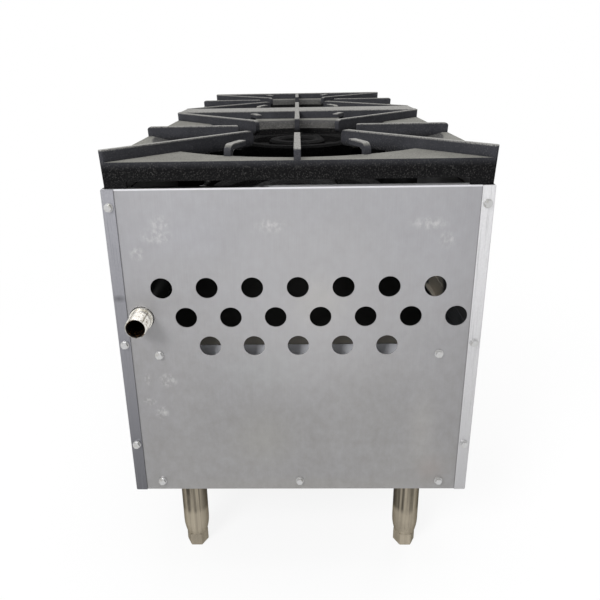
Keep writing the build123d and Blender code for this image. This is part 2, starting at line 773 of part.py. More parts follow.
def valve(name, x, outlet_bore):
    """A gas valve that stands on the manifold, with its stem bore towards the front."""
    front_boss_y = manifold_y - valve_length / 2 - valve_boss_length
    with BuildPart() as body:
        with Locations((x, manifold_y, gas_z)):
            Box(valve_width, valve_length, valve_height)
        chamfer(edges().filter_by(Axis.Y), valve_width / 8)
        rod(valve_boss_radius, (x, front_boss_y, gas_z), (x, outlet_y, gas_z))
        rod(valve_boss_radius, (x, manifold_y, manifold_z + pipe_bore), (x, manifold_y, gas_z))
        saddle = [(x + side * valve_width, manifold_y, manifold_z) for side in (-1, 1)]
        rod(pipe_radius + running_clearance, *saddle, Mode.SUBTRACT)
        rod(valve_spigot_radius, (x, manifold_y, manifold_z + pipe_bore), (x, manifold_y, gas_z))
        bore = stem_radius + running_clearance
        rod(bore, (x, front_boss_y, gas_z), (x, front_boss_y + stem_grip, gas_z), Mode.SUBTRACT)
        rod(outlet_bore, (x, outlet_y - feed_grip, gas_z), (x, outlet_y, gas_z), Mode.SUBTRACT)
    save(body, name)


def stem(name, x):
    """A valve stem, from its bore in the valve to its socket in the knob."""
    valve_end = manifold_y - valve_length / 2 - valve_boss_length + stem_grip - end_gap
    knob_end = front_face_y - knob_gap - stem_socket + end_gap
    with BuildPart() as shaft:
        rod(stem_radius, (x, knob_end, gas_z), (x, valve_end, gas_z))
    save(shaft, name)


def knob(name, x):
    """A knob with a round skirt and a grip bar that points up when the gas is off."""
    back_y = front_face_y - knob_gap
    tip_y = back_y - knob_length
    with BuildPart() as handle:
        with BuildSketch(upright(back_y)):
            with Locations((x, gas_z)):
                Circle(knob_radius)
        extrude(amount=knob_skirt_height, taper=8)
        with BuildSketch(upright(back_y - knob_skirt_height)):
            with Locations((x, gas_z)):
                Circle(knob_grip_radius)
        extrude(amount=knob_skirt_height, taper=4)
        slab(
            (x - knob_bar_width / 2, x + knob_bar_width / 2),
            (tip_y, back_y - knob_skirt_height / 2),
            (gas_z - knob_grip_radius, gas_z + knob_grip_radius),
        )
        fillet(edges().group_by(Axis.Y)[0], knob_bar_width / 4)
        bore = stem_radius + running_clearance
        rod(bore, (x, back_y - stem_socket, gas_z), (x, back_y, gas_z), Mode.SUBTRACT)
    save(handle, name)


for valve_name, x in knob_columns.items():
    is_rear = valve_name.startswith("rear")
    valve(f"{valve_name}_valve", x, (feed_radius if is_rear else orifice_radius / 2) + running_clearance)
    stem(f"{valve_name}_stem", x)
    knob(f"{valve_name}_knob", x)

with BuildPart() as front_orifices:
    for x in (-venturi_x, venturi_x):
        with BuildSketch(upright(outlet_y)):
            with Locations((x, gas_z)):
                RegularPolygon(orifice_radius, 6)
        extrude(amount=-orifice_length * 2 / 3)
        tip = (x, outlet_y + orifice_length, gas_z)
        rod(orifice_radius * 2 / 3, (x, outlet_y, gas_z), tip)
        rod(orifice_radius / 2, (x, outlet_y - feed_grip + end_gap, gas_z), (x, outlet_y, gas_z))
        rod(orifice_bore, (x, outlet_y - feed_grip, gas_z), tip, Mode.SUBTRACT)
save(front_orifices, "front_orifices")

tube_end_y = union_rail_y - union_length + union_lead
feed_run_x = outer_ring_radius + ring_width / 2 + feed_pass
pilot_run_x = feed_run_x + pilot_pass

with BuildPart() as rear_orifices:
    for x in (-venturi_x, venturi_x):
        hood_y = union_rail_y + union_lead
        rod(union_radius, (x, tube_end_y, gas_z), (x, hood_y, gas_z))
        with BuildSketch(upright(hood_y)):
            with Locations((x, gas_z)):
                RegularPolygon(orifice_radius, 6)
        extrude(amount=-orifice_length * 2 / 3)
        tip = (x, hood_y + orifice_length, gas_z)
        rod(orifice_radius * 2 / 3, (x, hood_y, gas_z), tip)
        start = (x, tube_end_y, gas_z)
        rod(feed_radius + running_clearance, start, (x, tube_end_y + feed_grip, gas_z), Mode.SUBTRACT)
        rod(orifice_bore, start, tip, Mode.SUBTRACT)
save(rear_orifices, "rear_orifices")

with BuildPart() as orifice_rail:
    rail_bottom = seat_z - rail_depth
    rail_z = (rail_bottom, gas_z + 2 * union_radius)
    slab((-inner_x, inner_x), (union_rail_y - rail_sheet / 2, union_rail_y + rail_sheet / 2), rail_z)
    ledge_z = (rail_bottom, rail_bottom + rail_sheet)
    slab((-inner_x, inner_x), (union_rail_y, union_rail_y - rail_width), ledge_z)
    for x in (-venturi_x, venturi_x):
        hole = union_radius + running_clearance
        through = [(x, union_rail_y + side * rail_sheet, gas_z) for side in (-1, 1)]
        rod(hole, *through, Mode.SUBTRACT)
    rod(
        pilot_tube_radius * 2,
        (pilot_run_x, union_rail_y - rail_sheet, seat_z + pilot_tube_radius),
        (pilot_run_x, union_rail_y + rail_sheet, seat_z + pilot_tube_radius),
        Mode.SUBTRACT,
    )
save(orifice_rail, "orifice_rail")


def feed_tube(name, side):
    """A tube from an outer valve past the front burner to the rear burner's orifice."""
    route = [
        (side * outer_knob_x, outlet_y - feed_grip + end_gap, gas_z),
        (side * outer_knob_x, outlet_y + feed_lead, gas_z),
        (side * feed_run_x, outlet_y + 2 * feed_lead, gas_z),
        (side * feed_run_x, union_rail_y - mouth_reach, gas_z),
        (side * venturi_x, tube_end_y - feed_bend, gas_z),
        (side * venturi_x, tube_end_y + feed_grip - end_gap, gas_z),
    ]
    with BuildPart() as tube:
        bent_rod(feed_radius, route, feed_bend)
        bent_rod(feed_radius - sheet, route, feed_bend, Mode.SUBTRACT)
    save(tube, name)


feed_tube("rear_outer_feed_tube", 1)
feed_tube("rear_inner_feed_tube", -1)

pilot_z = seat_z + pilot_tube_radius + end_gap
pilot_start = manifold_y + pilot_block / 2
pilot_columns = (0, venturi_x + pilot_lead)

with BuildPart() as pilot_valves:
    block_z = (manifold_z, pilot_z + 2 * pilot_tube_radius)
    block_half = pilot_block / 2
    for x in pilot_columns:
        slab((x - block_half, x + block_half), (manifold_y - block_half, manifold_y + block_half), block_z)
        socket = (x, pilot_start - pilot_socket, pilot_z)
        rod(pilot_tube_radius + running_clearance, socket, (x, pilot_start, pilot_z), Mode.SUBTRACT)
    saddle = [(x, manifold_y, manifold_z) for x in (-pilot_block, half_width)]
    rod(pipe_radius + running_clearance, *saddle, Mode.SUBTRACT)
save(pilot_valves, "pilot_valves")


def pilot(name, route, head):
    """A pilot tube and the head that it carries beside its burner."""
    with BuildPart() as tube:
        if len(route) > 2:
            bent_rod(pilot_tube_radius, route, pilot_bend)
        else:
            rod(pilot_tube_radius, route[0], route[1])
        rod(pilot_head_radius, (*head, seat_z), (*head, seat_z + burner_height + port_radius))
    save(tube, name)


pilot_inner_y = pilot_start - pilot_socket + end_gap
ring_edge = outer_ring_radius + ring_width / 2 + pilot_gap + pilot_head_radius
front_head = (0, front_burner_y - ring_edge)
pilot("front_pilot", [(0, pilot_inner_y, pilot_z), (*front_head, pilot_z)], front_head)
rear_head = (ring_edge, rear_burner_y)
rear_pilot_route = [
    (pilot_columns[1], pilot_inner_y, pilot_z),
    (pilot_columns[1], pilot_start + 2 * pilot_bend, pilot_z),
    (pilot_run_x, pilot_start + 5 * pilot_bend, pilot_z),
    (pilot_run_x, rear_burner_y - 2 * pilot_bend, pilot_z),
    (*rear_head, pilot_z),
]
pilot("rear_pilot", rear_pilot_route, rear_head)


# Legs and fasteners ---------------------------------------------------------------------------

bolt_seat = pan_z - leg_plate_thickness


def leg(name, x, y):
    """A tube leg welded under its plate, with a threaded plug in its tapered end."""
    taper_top = leg_taper_bottom + leg_taper_height
    plug_top = leg_taper_bottom + leg_plug_height
    bore = foot_stud_radius + running_clearance
    with BuildPart() as tube:
        with BuildSketch(upright(y)):
            with BuildLine():
                sole = Line((x + bore, leg_taper_bottom), (x + leg_tip_radius, leg_taper_bottom))
                TangentArc((x + leg_radius, taper_top), sole @ 1, tangent=(0, -1))
                Polyline(
                    (x + leg_radius, taper_top),
                    (x + leg_radius, bolt_seat),
                    (x + leg_radius - leg_wall, bolt_seat),
                    (x + leg_radius - leg_wall, plug_top),
                    (x + bore, plug_top),
                    sole @ 0,
                )
            make_face()
        revolve(axis=Axis((x, y, 0), (0, 0, 1)))
        with BuildSketch(Plane.XY.offset(bolt_seat)):
            with Locations((x, y)):
                RectangleRounded(leg_plate, leg_plate, leg_bolt_head_radius)
                with GridLocations(leg_bolt_pitch, leg_bolt_pitch, 2, 2):
                    Circle(leg_bolt_radius + running_clearance, mode=Mode.SUBTRACT)
        extrude(amount=leg_plate_thickness)
    save(tube, name)


def foot(name, x, y):
    """A hexagonal foot whose stud screws into the leg."""
    hex_top = leg_taper_bottom - foot_gap
    with BuildPart() as levelling_foot:
        with BuildSketch():
            with Locations((x, y)):
                RegularPolygon(foot_flats / 2, 6, major_radius=False)
        extrude(amount=hex_top)
        chamfer(edges().group_by(Axis.Z)[0], foot_chamfer)
        rod(foot_stud_radius, (x, y, hex_top), (x, y, hex_top + foot_stud_length))
    save(levelling_foot, name)


leg_names = ("rear_left", "rear_right", "front_left", "front_right")
for leg_name, (x, y) in zip(leg_names, leg_spots):
    leg(f"{leg_name}_leg", x, y)
    foot(f"{leg_name}_foot", x, y)

with BuildPart() as leg_bolts:
    with BuildSketch(Plane.XY.offset(bolt_seat - leg_bolt_head_height)):
        with Locations(*leg_spots):
            with GridLocations(leg_bolt_pitch, leg_bolt_pitch, 2, 2):
                RegularPolygon(leg_bolt_head_radius, 6)
    extrude(amount=leg_bolt_head_height)
    with BuildSketch(Plane.XY.offset(bolt_seat)):
        with Locations(*leg_spots):
            with GridLocations(leg_bolt_pitch, leg_bolt_pitch, 2, 2):
                Circle(leg_bolt_radius)
    extrude(amount=leg_plate_thickness + sheet + weld_nut_height)
save(leg_bolts, "leg_bolts")

rear_screws = [(side * edge_screw_x, z, rear_y) for side in (-1, 1) for z in rear_edge_screw_heights]
rear_screws += [(side * runner_screw_x, runner_screw_height, rear_face_y) for side in (-1, 1)]
rear_screws += [(x, pan_screw_height, rear_face_y) for x in pan_screw_columns]
front_screws = [(side * edge_screw_x, z, front_y) for side in (-1, 1) for z in front_edge_screw_heights]
front_screws += [(x, pan_screw_height, front_face_y) for x in pan_screw_columns]

with BuildPart() as panel_screws:
    for screws, outward in ((rear_screws, 1), (front_screws, -1)):
        for x, height, face_y in screws:
            z = skirt_z + height
            rod(screw_radius, (x, face_y - outward * screw_length, z), (x, face_y, z))
            rod(screw_flange_radius, (x, face_y, z), (x, face_y + outward * screw_flange_height, z))
            with BuildSketch(upright(face_y)):
                with Locations((x, z)):
                    RegularPolygon(screw_flats / 2, 6, major_radius=False)
            extrude(amount=-outward * screw_head_height)
save(panel_screws, "panel_screws")
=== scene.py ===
"""A stock pot range with two open burners in line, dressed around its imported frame."""

import json
import math

import bmesh
import bpy
from bpy.props import FloatProperty, FloatVectorProperty, PointerProperty
from bpy.types import Operator, Panel, PropertyGroup
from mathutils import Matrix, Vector


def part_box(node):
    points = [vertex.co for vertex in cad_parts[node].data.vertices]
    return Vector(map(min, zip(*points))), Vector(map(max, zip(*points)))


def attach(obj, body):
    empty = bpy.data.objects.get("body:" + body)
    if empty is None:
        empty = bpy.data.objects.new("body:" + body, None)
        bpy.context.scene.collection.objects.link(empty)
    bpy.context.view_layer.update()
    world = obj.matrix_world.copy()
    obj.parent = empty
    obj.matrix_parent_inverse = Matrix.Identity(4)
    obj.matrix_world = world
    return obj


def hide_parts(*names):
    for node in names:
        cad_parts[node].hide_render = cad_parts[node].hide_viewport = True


bl_info = {
    "name": "Stock Pot Range",
    "version": (1, 0, 0),
    "blender": (4, 5, 0),
    "location": "View3D > Sidebar > Range",
    "description": "Dresses the frame of a stock pot range with its castings, sheets and finishes",
    "category": "Object",
}

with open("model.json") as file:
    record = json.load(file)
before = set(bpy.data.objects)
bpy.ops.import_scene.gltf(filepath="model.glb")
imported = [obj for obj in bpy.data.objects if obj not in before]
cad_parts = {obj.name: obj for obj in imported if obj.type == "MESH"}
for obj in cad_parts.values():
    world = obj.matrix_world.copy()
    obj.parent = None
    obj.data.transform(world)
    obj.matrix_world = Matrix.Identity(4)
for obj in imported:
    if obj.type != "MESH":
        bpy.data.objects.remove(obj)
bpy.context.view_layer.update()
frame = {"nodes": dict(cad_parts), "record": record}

KNOBS = ("rear_outer", "front_outer", "front_inner", "rear_inner")
LEGS = ("rear_left", "rear_right", "front_left", "front_right")
BURNERS = ("rear", "front")

PANEL_LOW, PANEL_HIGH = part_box("rear_panel")
SIDE_LOW, SIDE_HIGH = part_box("right_side_panel")
DECK_Z = PANEL_HIGH.z
GRATE_LOW, GRATE_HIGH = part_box("rear_grate")
KNOB_LOW, KNOB_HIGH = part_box("rear_outer_knob")

# Mesh work, in metres and radians
SAME_POINT = 1e-6
SAME_PLACE = 1e-5
FLAT_ANGLE = math.radians(0.2)
SHARP_ANGLE = math.radians(32)
THREAD_SMOOTH_ANGLE = math.radians(40)
NIPPLE_SIDES = 64
ROWS_A_PITCH = 8

# The camera: across, behind the rear flanges and up, in metres, and its turn in degrees
CAMERA_X, CAMERA_BEHIND, CAMERA_Z = -0.0015135, 0.6606379, 0.7185627
CAMERA_TURN = (70.68270, 0.93257, -179.02067)
CAMERA_LENS = 34.9532
CAMERA_SHIFT = (0.022938, -0.063105)

# The lamps: name, place, size across and power
LAMPS = (
    ("key", (1.5, 2.6, 2.3), 1.2, 75.0),
    ("top", (0.0, 0.2, 2.6), 1.8, 25.0),
    ("front_fill", (-1.6, -2.2, 1.6), 1.6, 30.0),
)
LAMP_TARGET = Vector((0, 0, 0.4))

# Marks on the rear panel, in metres. Rub marks: centre across, centre up, reach across and up
RUBS = (
    (0.163, 0.536, 0.018, 0.014),
    (0.168, 0.521, 0.026, 0.015),
    (0.193, 0.499, 0.012, 0.012),
    (0.031, 0.532, 0.026, 0.012),
    (-0.155, 0.533, 0.03, 0.011),
    (-0.178, 0.513, 0.014, 0.014),
    (0.17, 0.325, 0.016, 0.014),
    (0.196, 0.327, 0.006, 0.012),
    (0.182, 0.276, 0.012, 0.014),
    (0.197, 0.293, 0.012, 0.008),
)
# Smears: centre across, centre up, reach across, reach up, strength, colour
SMEARS = (
    (-0.163, 0.25, 0.028, 0.09, 0.3, (0.4, 0.385, 0.36)),
    (-0.178, 0.184, 0.03, 0.035, 0.35, (0.3, 0.25, 0.22)),
    (0.05, 0.233, 0.06, 0.07, 0.3, (0.3, 0.29, 0.25)),
    (0.047, 0.34, 0.09, 0.045, 0.2, (0.34, 0.36, 0.36)),
    (-0.027, 0.437, 0.05, 0.05, 0.25, (0.5, 0.48, 0.43)),
    (0.0, 0.158, 0.3, 0.02, 0.25, (0.3, 0.285, 0.25)),
)
MARK_DEPTH = 0.05
# Single patches: centre and reach
PALER_MIDDLE = ((-0.02, PANEL_HIGH.y, 0.41), (0.15, 0.06, 0.15))
FLANGE_NICK = ((0.221, SIDE_HIGH.y, 0.441), (0.012, 0.01, 0.006))
# A painted patch of light inside the left wall
PAINTED_LIGHT_PATCH = ((-0.226, 0.3, 0.365), (0.02, 0.06, 0.05))

# Heights and depths over which a finish changes, in metres
ASH_FADE = (0.0014, 0.0004)
RUBBED_FADE = (0.0022, 0.0006)
LEG_PAINTED_SHADE_FLANK = (0.006, 0.019)
LEG_SHOULDER = (0.04, 0.052)

# The floor: size, grey, and how white it shows near the object and away from it
FLOOR_SIZE = 30.0
FLOOR_GREY = (0.86, 0.86, 0.86, 1)
FLOOR_NEAR, FLOOR_FAR = 0.5, 1.3
FLOOR_SHOWN_NEAR, FLOOR_SHOWN_FAR = 0.88, 1.0
WORLD_LIGHT, WORLD_SHOWN = 0.5, 1.0


def length(name, text, default):
    """A size that the sidebar shows."""
    return FloatProperty(name=name, description=text, default=default, min=0, unit="LENGTH")


def tint(name, text, default):
    """A colour that the sidebar shows."""
    return FloatVectorProperty(
        name=name, description=text, default=default, size=3, min=0, max=1, subtype="COLOR"
    )


class RangeSizes(PropertyGroup):
    """Sizes that the pieces and their finishes are made to."""

    sheet_edge: length("Sheet edge", "Radius on the edges of bent sheet", 0.00035)
    fold_radius: length("Fold radius", "Outer radius where a side panel folds", 0.0019)
    casting_edge: length("Casting edge", "Radius on the edges of cast iron", 0.0015)
    plate_drop: length("Plate under ribs", "From the rib tops down to a grate's plate", 0.014)
    rib_end: length("Rib end", "Radius of the top corners at the ribs' ends", 0.0038)
    rib_width: length("Rib width", "Longest edge that counts as the end of a rib", 0.013)
    machined_edge: length("Machined edge", "Radius on the edges of turned parts", 0.0004)
    knob_edge: length("Knob edge", "Radius on the edges of the knobs", 0.0011)
    casting_grain: length("Casting grain", "Size of the pits in cast iron", 0.0016)
    brush_width: length("Brush width", "Spacing of the brush lines in steel", 0.0009)
    spangle: length("Spangle", "Size of the zinc crystals on galvanized sheet", 0.006)
    pipe_ream: length("Pipe ream", "What is left of the pipe's wall at its reamed mouth", 0.0015)
    pipe_wall: length("Pipe wall", "Thickness of the gas pipe", 0.0029)
    thread_pitch: length("Thread pitch", "Advance of the pipe thread in one turn", 0.0018)
    thread_depth: length("Thread depth", "Depth of the pipe thread", 0.0009)
    thread_start: length("Thread start", "Inner end of the nipple to its free thread", 0.017)
    seat_length: length("Seat length", "Thinner end of the nipple in its coupling", 0.0125)
    seat_depth: length("Seat depth", "How much thinner that end is", 0.0003)
    end_chamfer: length("End chamfer", "Chamfer on the nipple's mouth", 0.0012)


class RangeColors(PropertyGroup):
    """Base colours of the finishes."""

    # The rear sheet's top and bottom greys are painted shade: the sheet is drawn darker downwards.
    rear_steel: tint("Rear steel", "Worn sheet at the rear, at its top", (0.352, 0.35, 0.368))
    low_steel_painted_shade: tint("Lower rear steel", "Worn sheet at the rear, at its bottom", (0.235, 0.23, 0.226))
    # The rear flanges' greys are painted light: a painted highlight on the left one, painted shade on
    # the right one.
    left_flange_painted_light: tint("Left flange", "Rear flange on the user's left, rubbed clean", (0.8, 0.795, 0.81))
    right_flange_painted_shade: tint("Right flange", "Rear flange on the user's right, dulled", (0.38, 0.38, 0.41))
    side_steel: tint("Side steel", "Sheet at the sides", (0.5, 0.505, 0.515))
    front_steel: tint("Front steel", "Brushed sheet at the front", (0.56, 0.56, 0.57))
    zinc: tint("Zinc", "Galvanized sheet inside", (0.36, 0.37, 0.39))
    iron: tint("Iron", "Seasoned cast iron", (0.006, 0.006, 0.0064))
    # Partly burnt-on film and partly painted light on faces that look up.
    ash_and_top_light: tint("Ash", "Burnt-on film on level iron", (0.2, 0.197, 0.18))
    worn_iron: tint("Worn iron", "Cast iron where pots rub it", (0.27, 0.265, 0.255))
    # Near-black for burnt-on grease, also used as painted shade inside the body and as a painted
    # shadow.
    soot_and_shade: tint("Soot", "Burnt-on grease", (0.0015, 0.0014, 0.0013))
    # Near-black for old grease, partly painted shade inside the tray.
    grease: tint("Grease", "Old grease on the drip tray", (0.004, 0.0036, 0.003))
    rust: tint("Rust", "Rust in the pipe's mouth", (0.16, 0.075, 0.025))
    scuff: tint("Scuff", "Dry pale rub marks on sheet", (0.62, 0.61, 0.6))
    leg: tint("Leg", "Stainless tube of the legs", (0.42, 0.37, 0.29))
    bright_zinc: tint("Bright zinc", "Plated gas pipe", (0.82, 0.8, 0.75))
    screw: tint("Screw", "Plated screws and bolts", (0.52, 0.52, 0.52))
    brass: tint("Brass", "Valves and orifices", (0.62, 0.45, 0.2))
    black_pipe: tint("Black pipe", "Lacquered pipe", (0.012, 0.012, 0.012))
    aluminium: tint("Aluminium", "Gas tubes", (0.5, 0.5, 0.5))
    knob: tint("Knob", "Black moulded plastic", (0.014, 0.014, 0.015))
    mark: tint("Mark", "Paint of the knobs' pointer lines", (0.8, 0.8, 0.78))


def sizes():
    """The sizes set in the sidebar."""
    return bpy.context.scene.range_sizes


def colors():
    """The colours set in the sidebar."""
    return bpy.context.scene.range_colors


# Finishes --------------------------------------------------------------------------------------


class Finish:
    """A material and the nodes that feed its shader."""

    def __init__(self, name, color, metallic, roughness):
        self.material = bpy.data.materials.new(name)
        self.material.use_nodes = True
        self.tree = self.material.node_tree
        self.shader = self.tree.nodes["Principled BSDF"]
        self.shader.inputs["Base Color"].default_value = (*color, 1)
        self.shader.inputs["Metallic"].default_value = metallic
        self.shader.inputs["Roughness"].default_value = roughness
        self.object_point = self.add("ShaderNodeTexCoord").outputs["Object"]

    def add(self, kind, links=None, **settings):
        """A node with its settings, whose inputs take a value or another node's output."""
        made = self.tree.nodes.new(kind)
        for key, value in settings.items():
            setattr(made, key, value)
        for key, value in (links or {}).items():
            if isinstance(value, bpy.types.NodeSocket):
                self.tree.links.new(value, made.inputs[key])
            else:
                made.inputs[key].default_value = value
        return made

    def point(self, spacing, offset=(0, 0, 0)):
        """Object coordinates counted in steps of spacing along each axis."""
        scale = [1 / step for step in spacing]
        shift = [-place / step for place, step in zip(offset, spacing)]
        links = {"Vector": self.object_point, "Scale": scale, "Location": shift}
        return self.add("ShaderNodeMapping", links).outputs["Vector"]

    def noise(self, spacing, detail=2.0, roughness=0.5):
        """Soft random values from 0 to 1, with lumps of the size spacing."""
        links = {"Vector": self.point(spacing), "Scale": 1.0, "Detail": detail, "Roughness": roughness}
        return self.add("ShaderNodeTexNoise", links).outputs["Fac"]

    def cells(self, spacing):
        """Random values that stay the same over each crystal."""
        links = {"Vector": self.point((spacing,) * 3), "Scale": 1.0}
        found = self.add("ShaderNodeTexVoronoi", links)
        return self.add("ShaderNodeSeparateColor", {"Color": found.outputs["Color"]}).outputs["Red"]

    def patch(self, center, reach):
        """1 at center, falling to 0 at reach along each axis."""
        links = {"Vector": self.point(reach, center)}
        return self.add("ShaderNodeTexGradient", links, gradient_type="SPHERICAL").outputs["Fac"]

    def axis(self, letter):
        """The object coordinate along X, Y or Z."""
        return self.add("ShaderNodeSeparateXYZ", {"Vector": self.object_point}).outputs[letter]

    def upward(self):
        """How far the surface faces up, from -1 to 1."""
        normal = self.add("ShaderNodeNewGeometry").outputs["Normal"]
        return self.add("ShaderNodeSeparateXYZ", {"Vector": normal}).outputs["Z"]

    def between(self, value, low, high, smooth=True):
        """0 where value is low or past it, 1 where it is high or past it."""
        links = {"Value": value, "From Min": low, "From Max": high}
        curve = "SMOOTHSTEP" if smooth else "LINEAR"
        return self.add("ShaderNodeMapRange", links, interpolation_type=curve).outputs["Result"]

    def spread(self, value, low, high):
        """value, from 0 to 1, stretched to lie between low and high."""
        links = {"Value": value, "To Min": low, "To Max": high}
        return self.add("ShaderNodeMapRange", links).outputs["Result"]

    def math(self, operation, first, second=0.0, clamp=False):
        """Two values put together."""
        links = {0: first, 1: second}
        return self.add("ShaderNodeMath", links, operation=operation, use_clamp=clamp).outputs["Value"]

    def times(self, first, second):
        """The product of two values."""
        return self.math("MULTIPLY", first, second)

    def mixed(self, amount, first, second):
        """A colour from first to second by amount."""
        mix = self.add("ShaderNodeMix", data_type="RGBA")
        for key, value in (("Factor", amount), ("A", first), ("B", second)):
            socket = next(each for each in mix.inputs if each.name == key and each.enabled)
            if isinstance(value, bpy.types.NodeSocket):
                self.tree.links.new(value, socket)
            else:
                socket.default_value = value if key == "Factor" else (*value, 1)
        return next(each for each in mix.outputs if each.enabled)

    def scaled(self, color, factor):
        """color made darker or lighter by factor."""
        return tuple(min(1.0, part * factor) for part in color)

    def feed(self, socket, value):
        """Links a value to one of the shader's inputs."""
        self.tree.links.new(value, self.shader.inputs[socket])

    def bump(self, height, depth, under=None):
        """Raises the surface by up to depth where height is 1, over the bumps under it."""
        links = {"Height": height, "Distance": depth, "Strength": 1.0}
        if under is not None:
            links["Normal"] = under
        normal = self.add("ShaderNodeBump", links).outputs["Normal"]
        self.feed("Normal", normal)
        return normal


def brushed_steel(name, color, roughness, grain="Z", dirt=0.25, metallic=0.75):
    """Brushed sheet, mottled by use, with lines along the axis grain."""
    steel = Finish(name, color, metallic, roughness)
    fine, long = sizes().brush_width, sizes().brush_width * 120
    spacing = [long if letter == grain else fine for letter in "XYZ"]
    lines = steel.noise(spacing, detail=3.0, roughness=0.6)
    cloud = steel.noise((0.09, 0.09, 0.12), detail=4.0)
    dark, light = steel.scaled(color, 0.94), steel.scaled(color, 1.06)
    shade = steel.mixed(steel.spread(lines, 0.25, 0.75), dark, light)
    stains = steel.spread(steel.between(cloud, 0.45, 0.75), 0.0, dirt)
    stained = steel.mixed(stains, shade, steel.scaled(color, 0.55))
    steel.feed("Base Color", stained)
    steel.feed("Roughness", steel.spread(cloud, roughness - 0.05, roughness + 0.1))
    steel.bump(lines, 0.00002)
    return steel, stained


def rear_sheet(name):
    """The rear panel: dull sheet, painted paler at the top and darker downwards as painted shade, with
    rub marks, smears, a paler middle and darker sides.
    """
    pale, dull = tuple(colors().rear_steel), tuple(colors().low_steel_painted_shade)
    steel = Finish(name, pale, 0.55, 0.5)
    fine = sizes().brush_width
    lines = steel.noise((fine, fine, fine * 60), detail=3.0, roughness=0.6)
    mottle = steel.noise((0.012, 0.012, 0.016), detail=5.0, roughness=0.6)
    cloud = steel.noise((0.07, 0.07, 0.1), detail=3.0)
    tone = steel.noise((0.15, 0.15, 0.09), detail=1.0)
    # Painted shade: the sheet is drawn darker from the top downwards.
    fall = steel.between(steel.axis("Z"), DECK_Z - 0.03, PANEL_LOW.z + 0.06)
    uneven = steel.math("ADD", fall, steel.spread(cloud, -0.3, 0.3), clamp=True)
    shade = steel.mixed(uneven, pale, dull)
    shade = steel.mixed(steel.spread(tone, 0.0, 0.22), shade, (0.4, 0.385, 0.34))
    shade = steel.mixed(steel.spread(mottle, -0.1, 0.38), shade, (0.5, 0.5, 0.54))
    shade = steel.mixed(steel.spread(lines, -0.05, 0.26), shade, (0.2, 0.2, 0.21))
    # The middle is paler and the sides darker
    middle = steel.patch(*PALER_MIDDLE)
    shade = steel.mixed(steel.times(middle, 0.3), shade, (0.5, 0.49, 0.49))
    edge = steel.between(steel.math("ABSOLUTE", steel.axis("X")), 0.15, 0.215)
    shade = steel.mixed(steel.times(edge, 0.14), shade, (0.2, 0.195, 0.2))
    total = None
    for across, up, wide, tall in RUBS:
        spot = steel.patch((across, PANEL_HIGH.y, up), (wide, MARK_DEPTH, tall))
        total = spot if total is None else steel.math("MAXIMUM", total, spot)
    wisps = steel.noise((0.006, 0.006, 0.008), detail=3.0, roughness=0.7)
    rub = steel.times(steel.between(total, 0.05, 0.8), steel.between(wisps, 0.4, 0.72))
    shade = steel.mixed(steel.times(rub, 0.5), shade, tuple(colors().scuff))
    for across, up, wide, tall, strength, color in SMEARS:
        spot = steel.patch((across, PANEL_HIGH.y, up), (wide, MARK_DEPTH, tall))
        broken = steel.times(steel.between(spot, 0.0, 1.0), steel.spread(mottle, 0.3, 1.3))
        shade = steel.mixed(steel.times(broken, strength), shade, color)
    # Painted highlight on the top edge and folded hem: partly rubbed wear, partly the light it catches
    # from above.
    top_edge_highlight_and_wear = steel.between(steel.axis("Z"), DECK_Z - 0.0024, DECK_Z - 0.0012)
    shade = steel.mixed(steel.times(top_edge_highlight_and_wear, 0.7), shade, (0.85, 0.85, 0.88))
    # The folded top edge: drawn near-black at one end as a painted shadow under the grate
    hem = steel.between(steel.axis("Y"), PANEL_HIGH.y - 0.0015, PANEL_HIGH.y - 0.003)
    ragged = steel.math("ADD", steel.axis("X"), steel.spread(mottle, -0.03, 0.03))
    shadowed_end = steel.between(ragged, 0.02, 0.05)
    shade = steel.mixed(steel.times(hem, shadowed_end), shade, tuple(colors().soot_and_shade))
    steel.feed("Base Color", shade)
    steel.feed("Roughness", steel.spread(cloud, 0.4, 0.56))
    steel.bump(lines, 0.000015)
    return steel.material


def soot_and_shade_over(finish, shade, cover, metallic):
    """Lays sooty black over shade where cover is 1, partly burnt-on grime and partly painted shade, and
    takes the metal's shine away there.
    """
    finish.shader.inputs["Specular IOR Level"].default_value = 0.05
    bare = finish.math("SUBTRACT", 1.0, cover)
    finish.feed("Metallic", finish.times(bare, metallic))
    return finish.mixed(cover, shade, tuple(colors().soot_and_shade))


def with_painted_light_patch(finish, shade, where=1.0):
    """Paints a pale patch of light on the inside of the left wall where the last vent of the upper row
    shows it.
    """
    patch = finish.patch(*PAINTED_LIGHT_PATCH)
    pale = finish.times(finish.between(patch, 0.0, 0.3), where)
    return finish.mixed(pale, shade, (0.8, 0.75, 0.66))


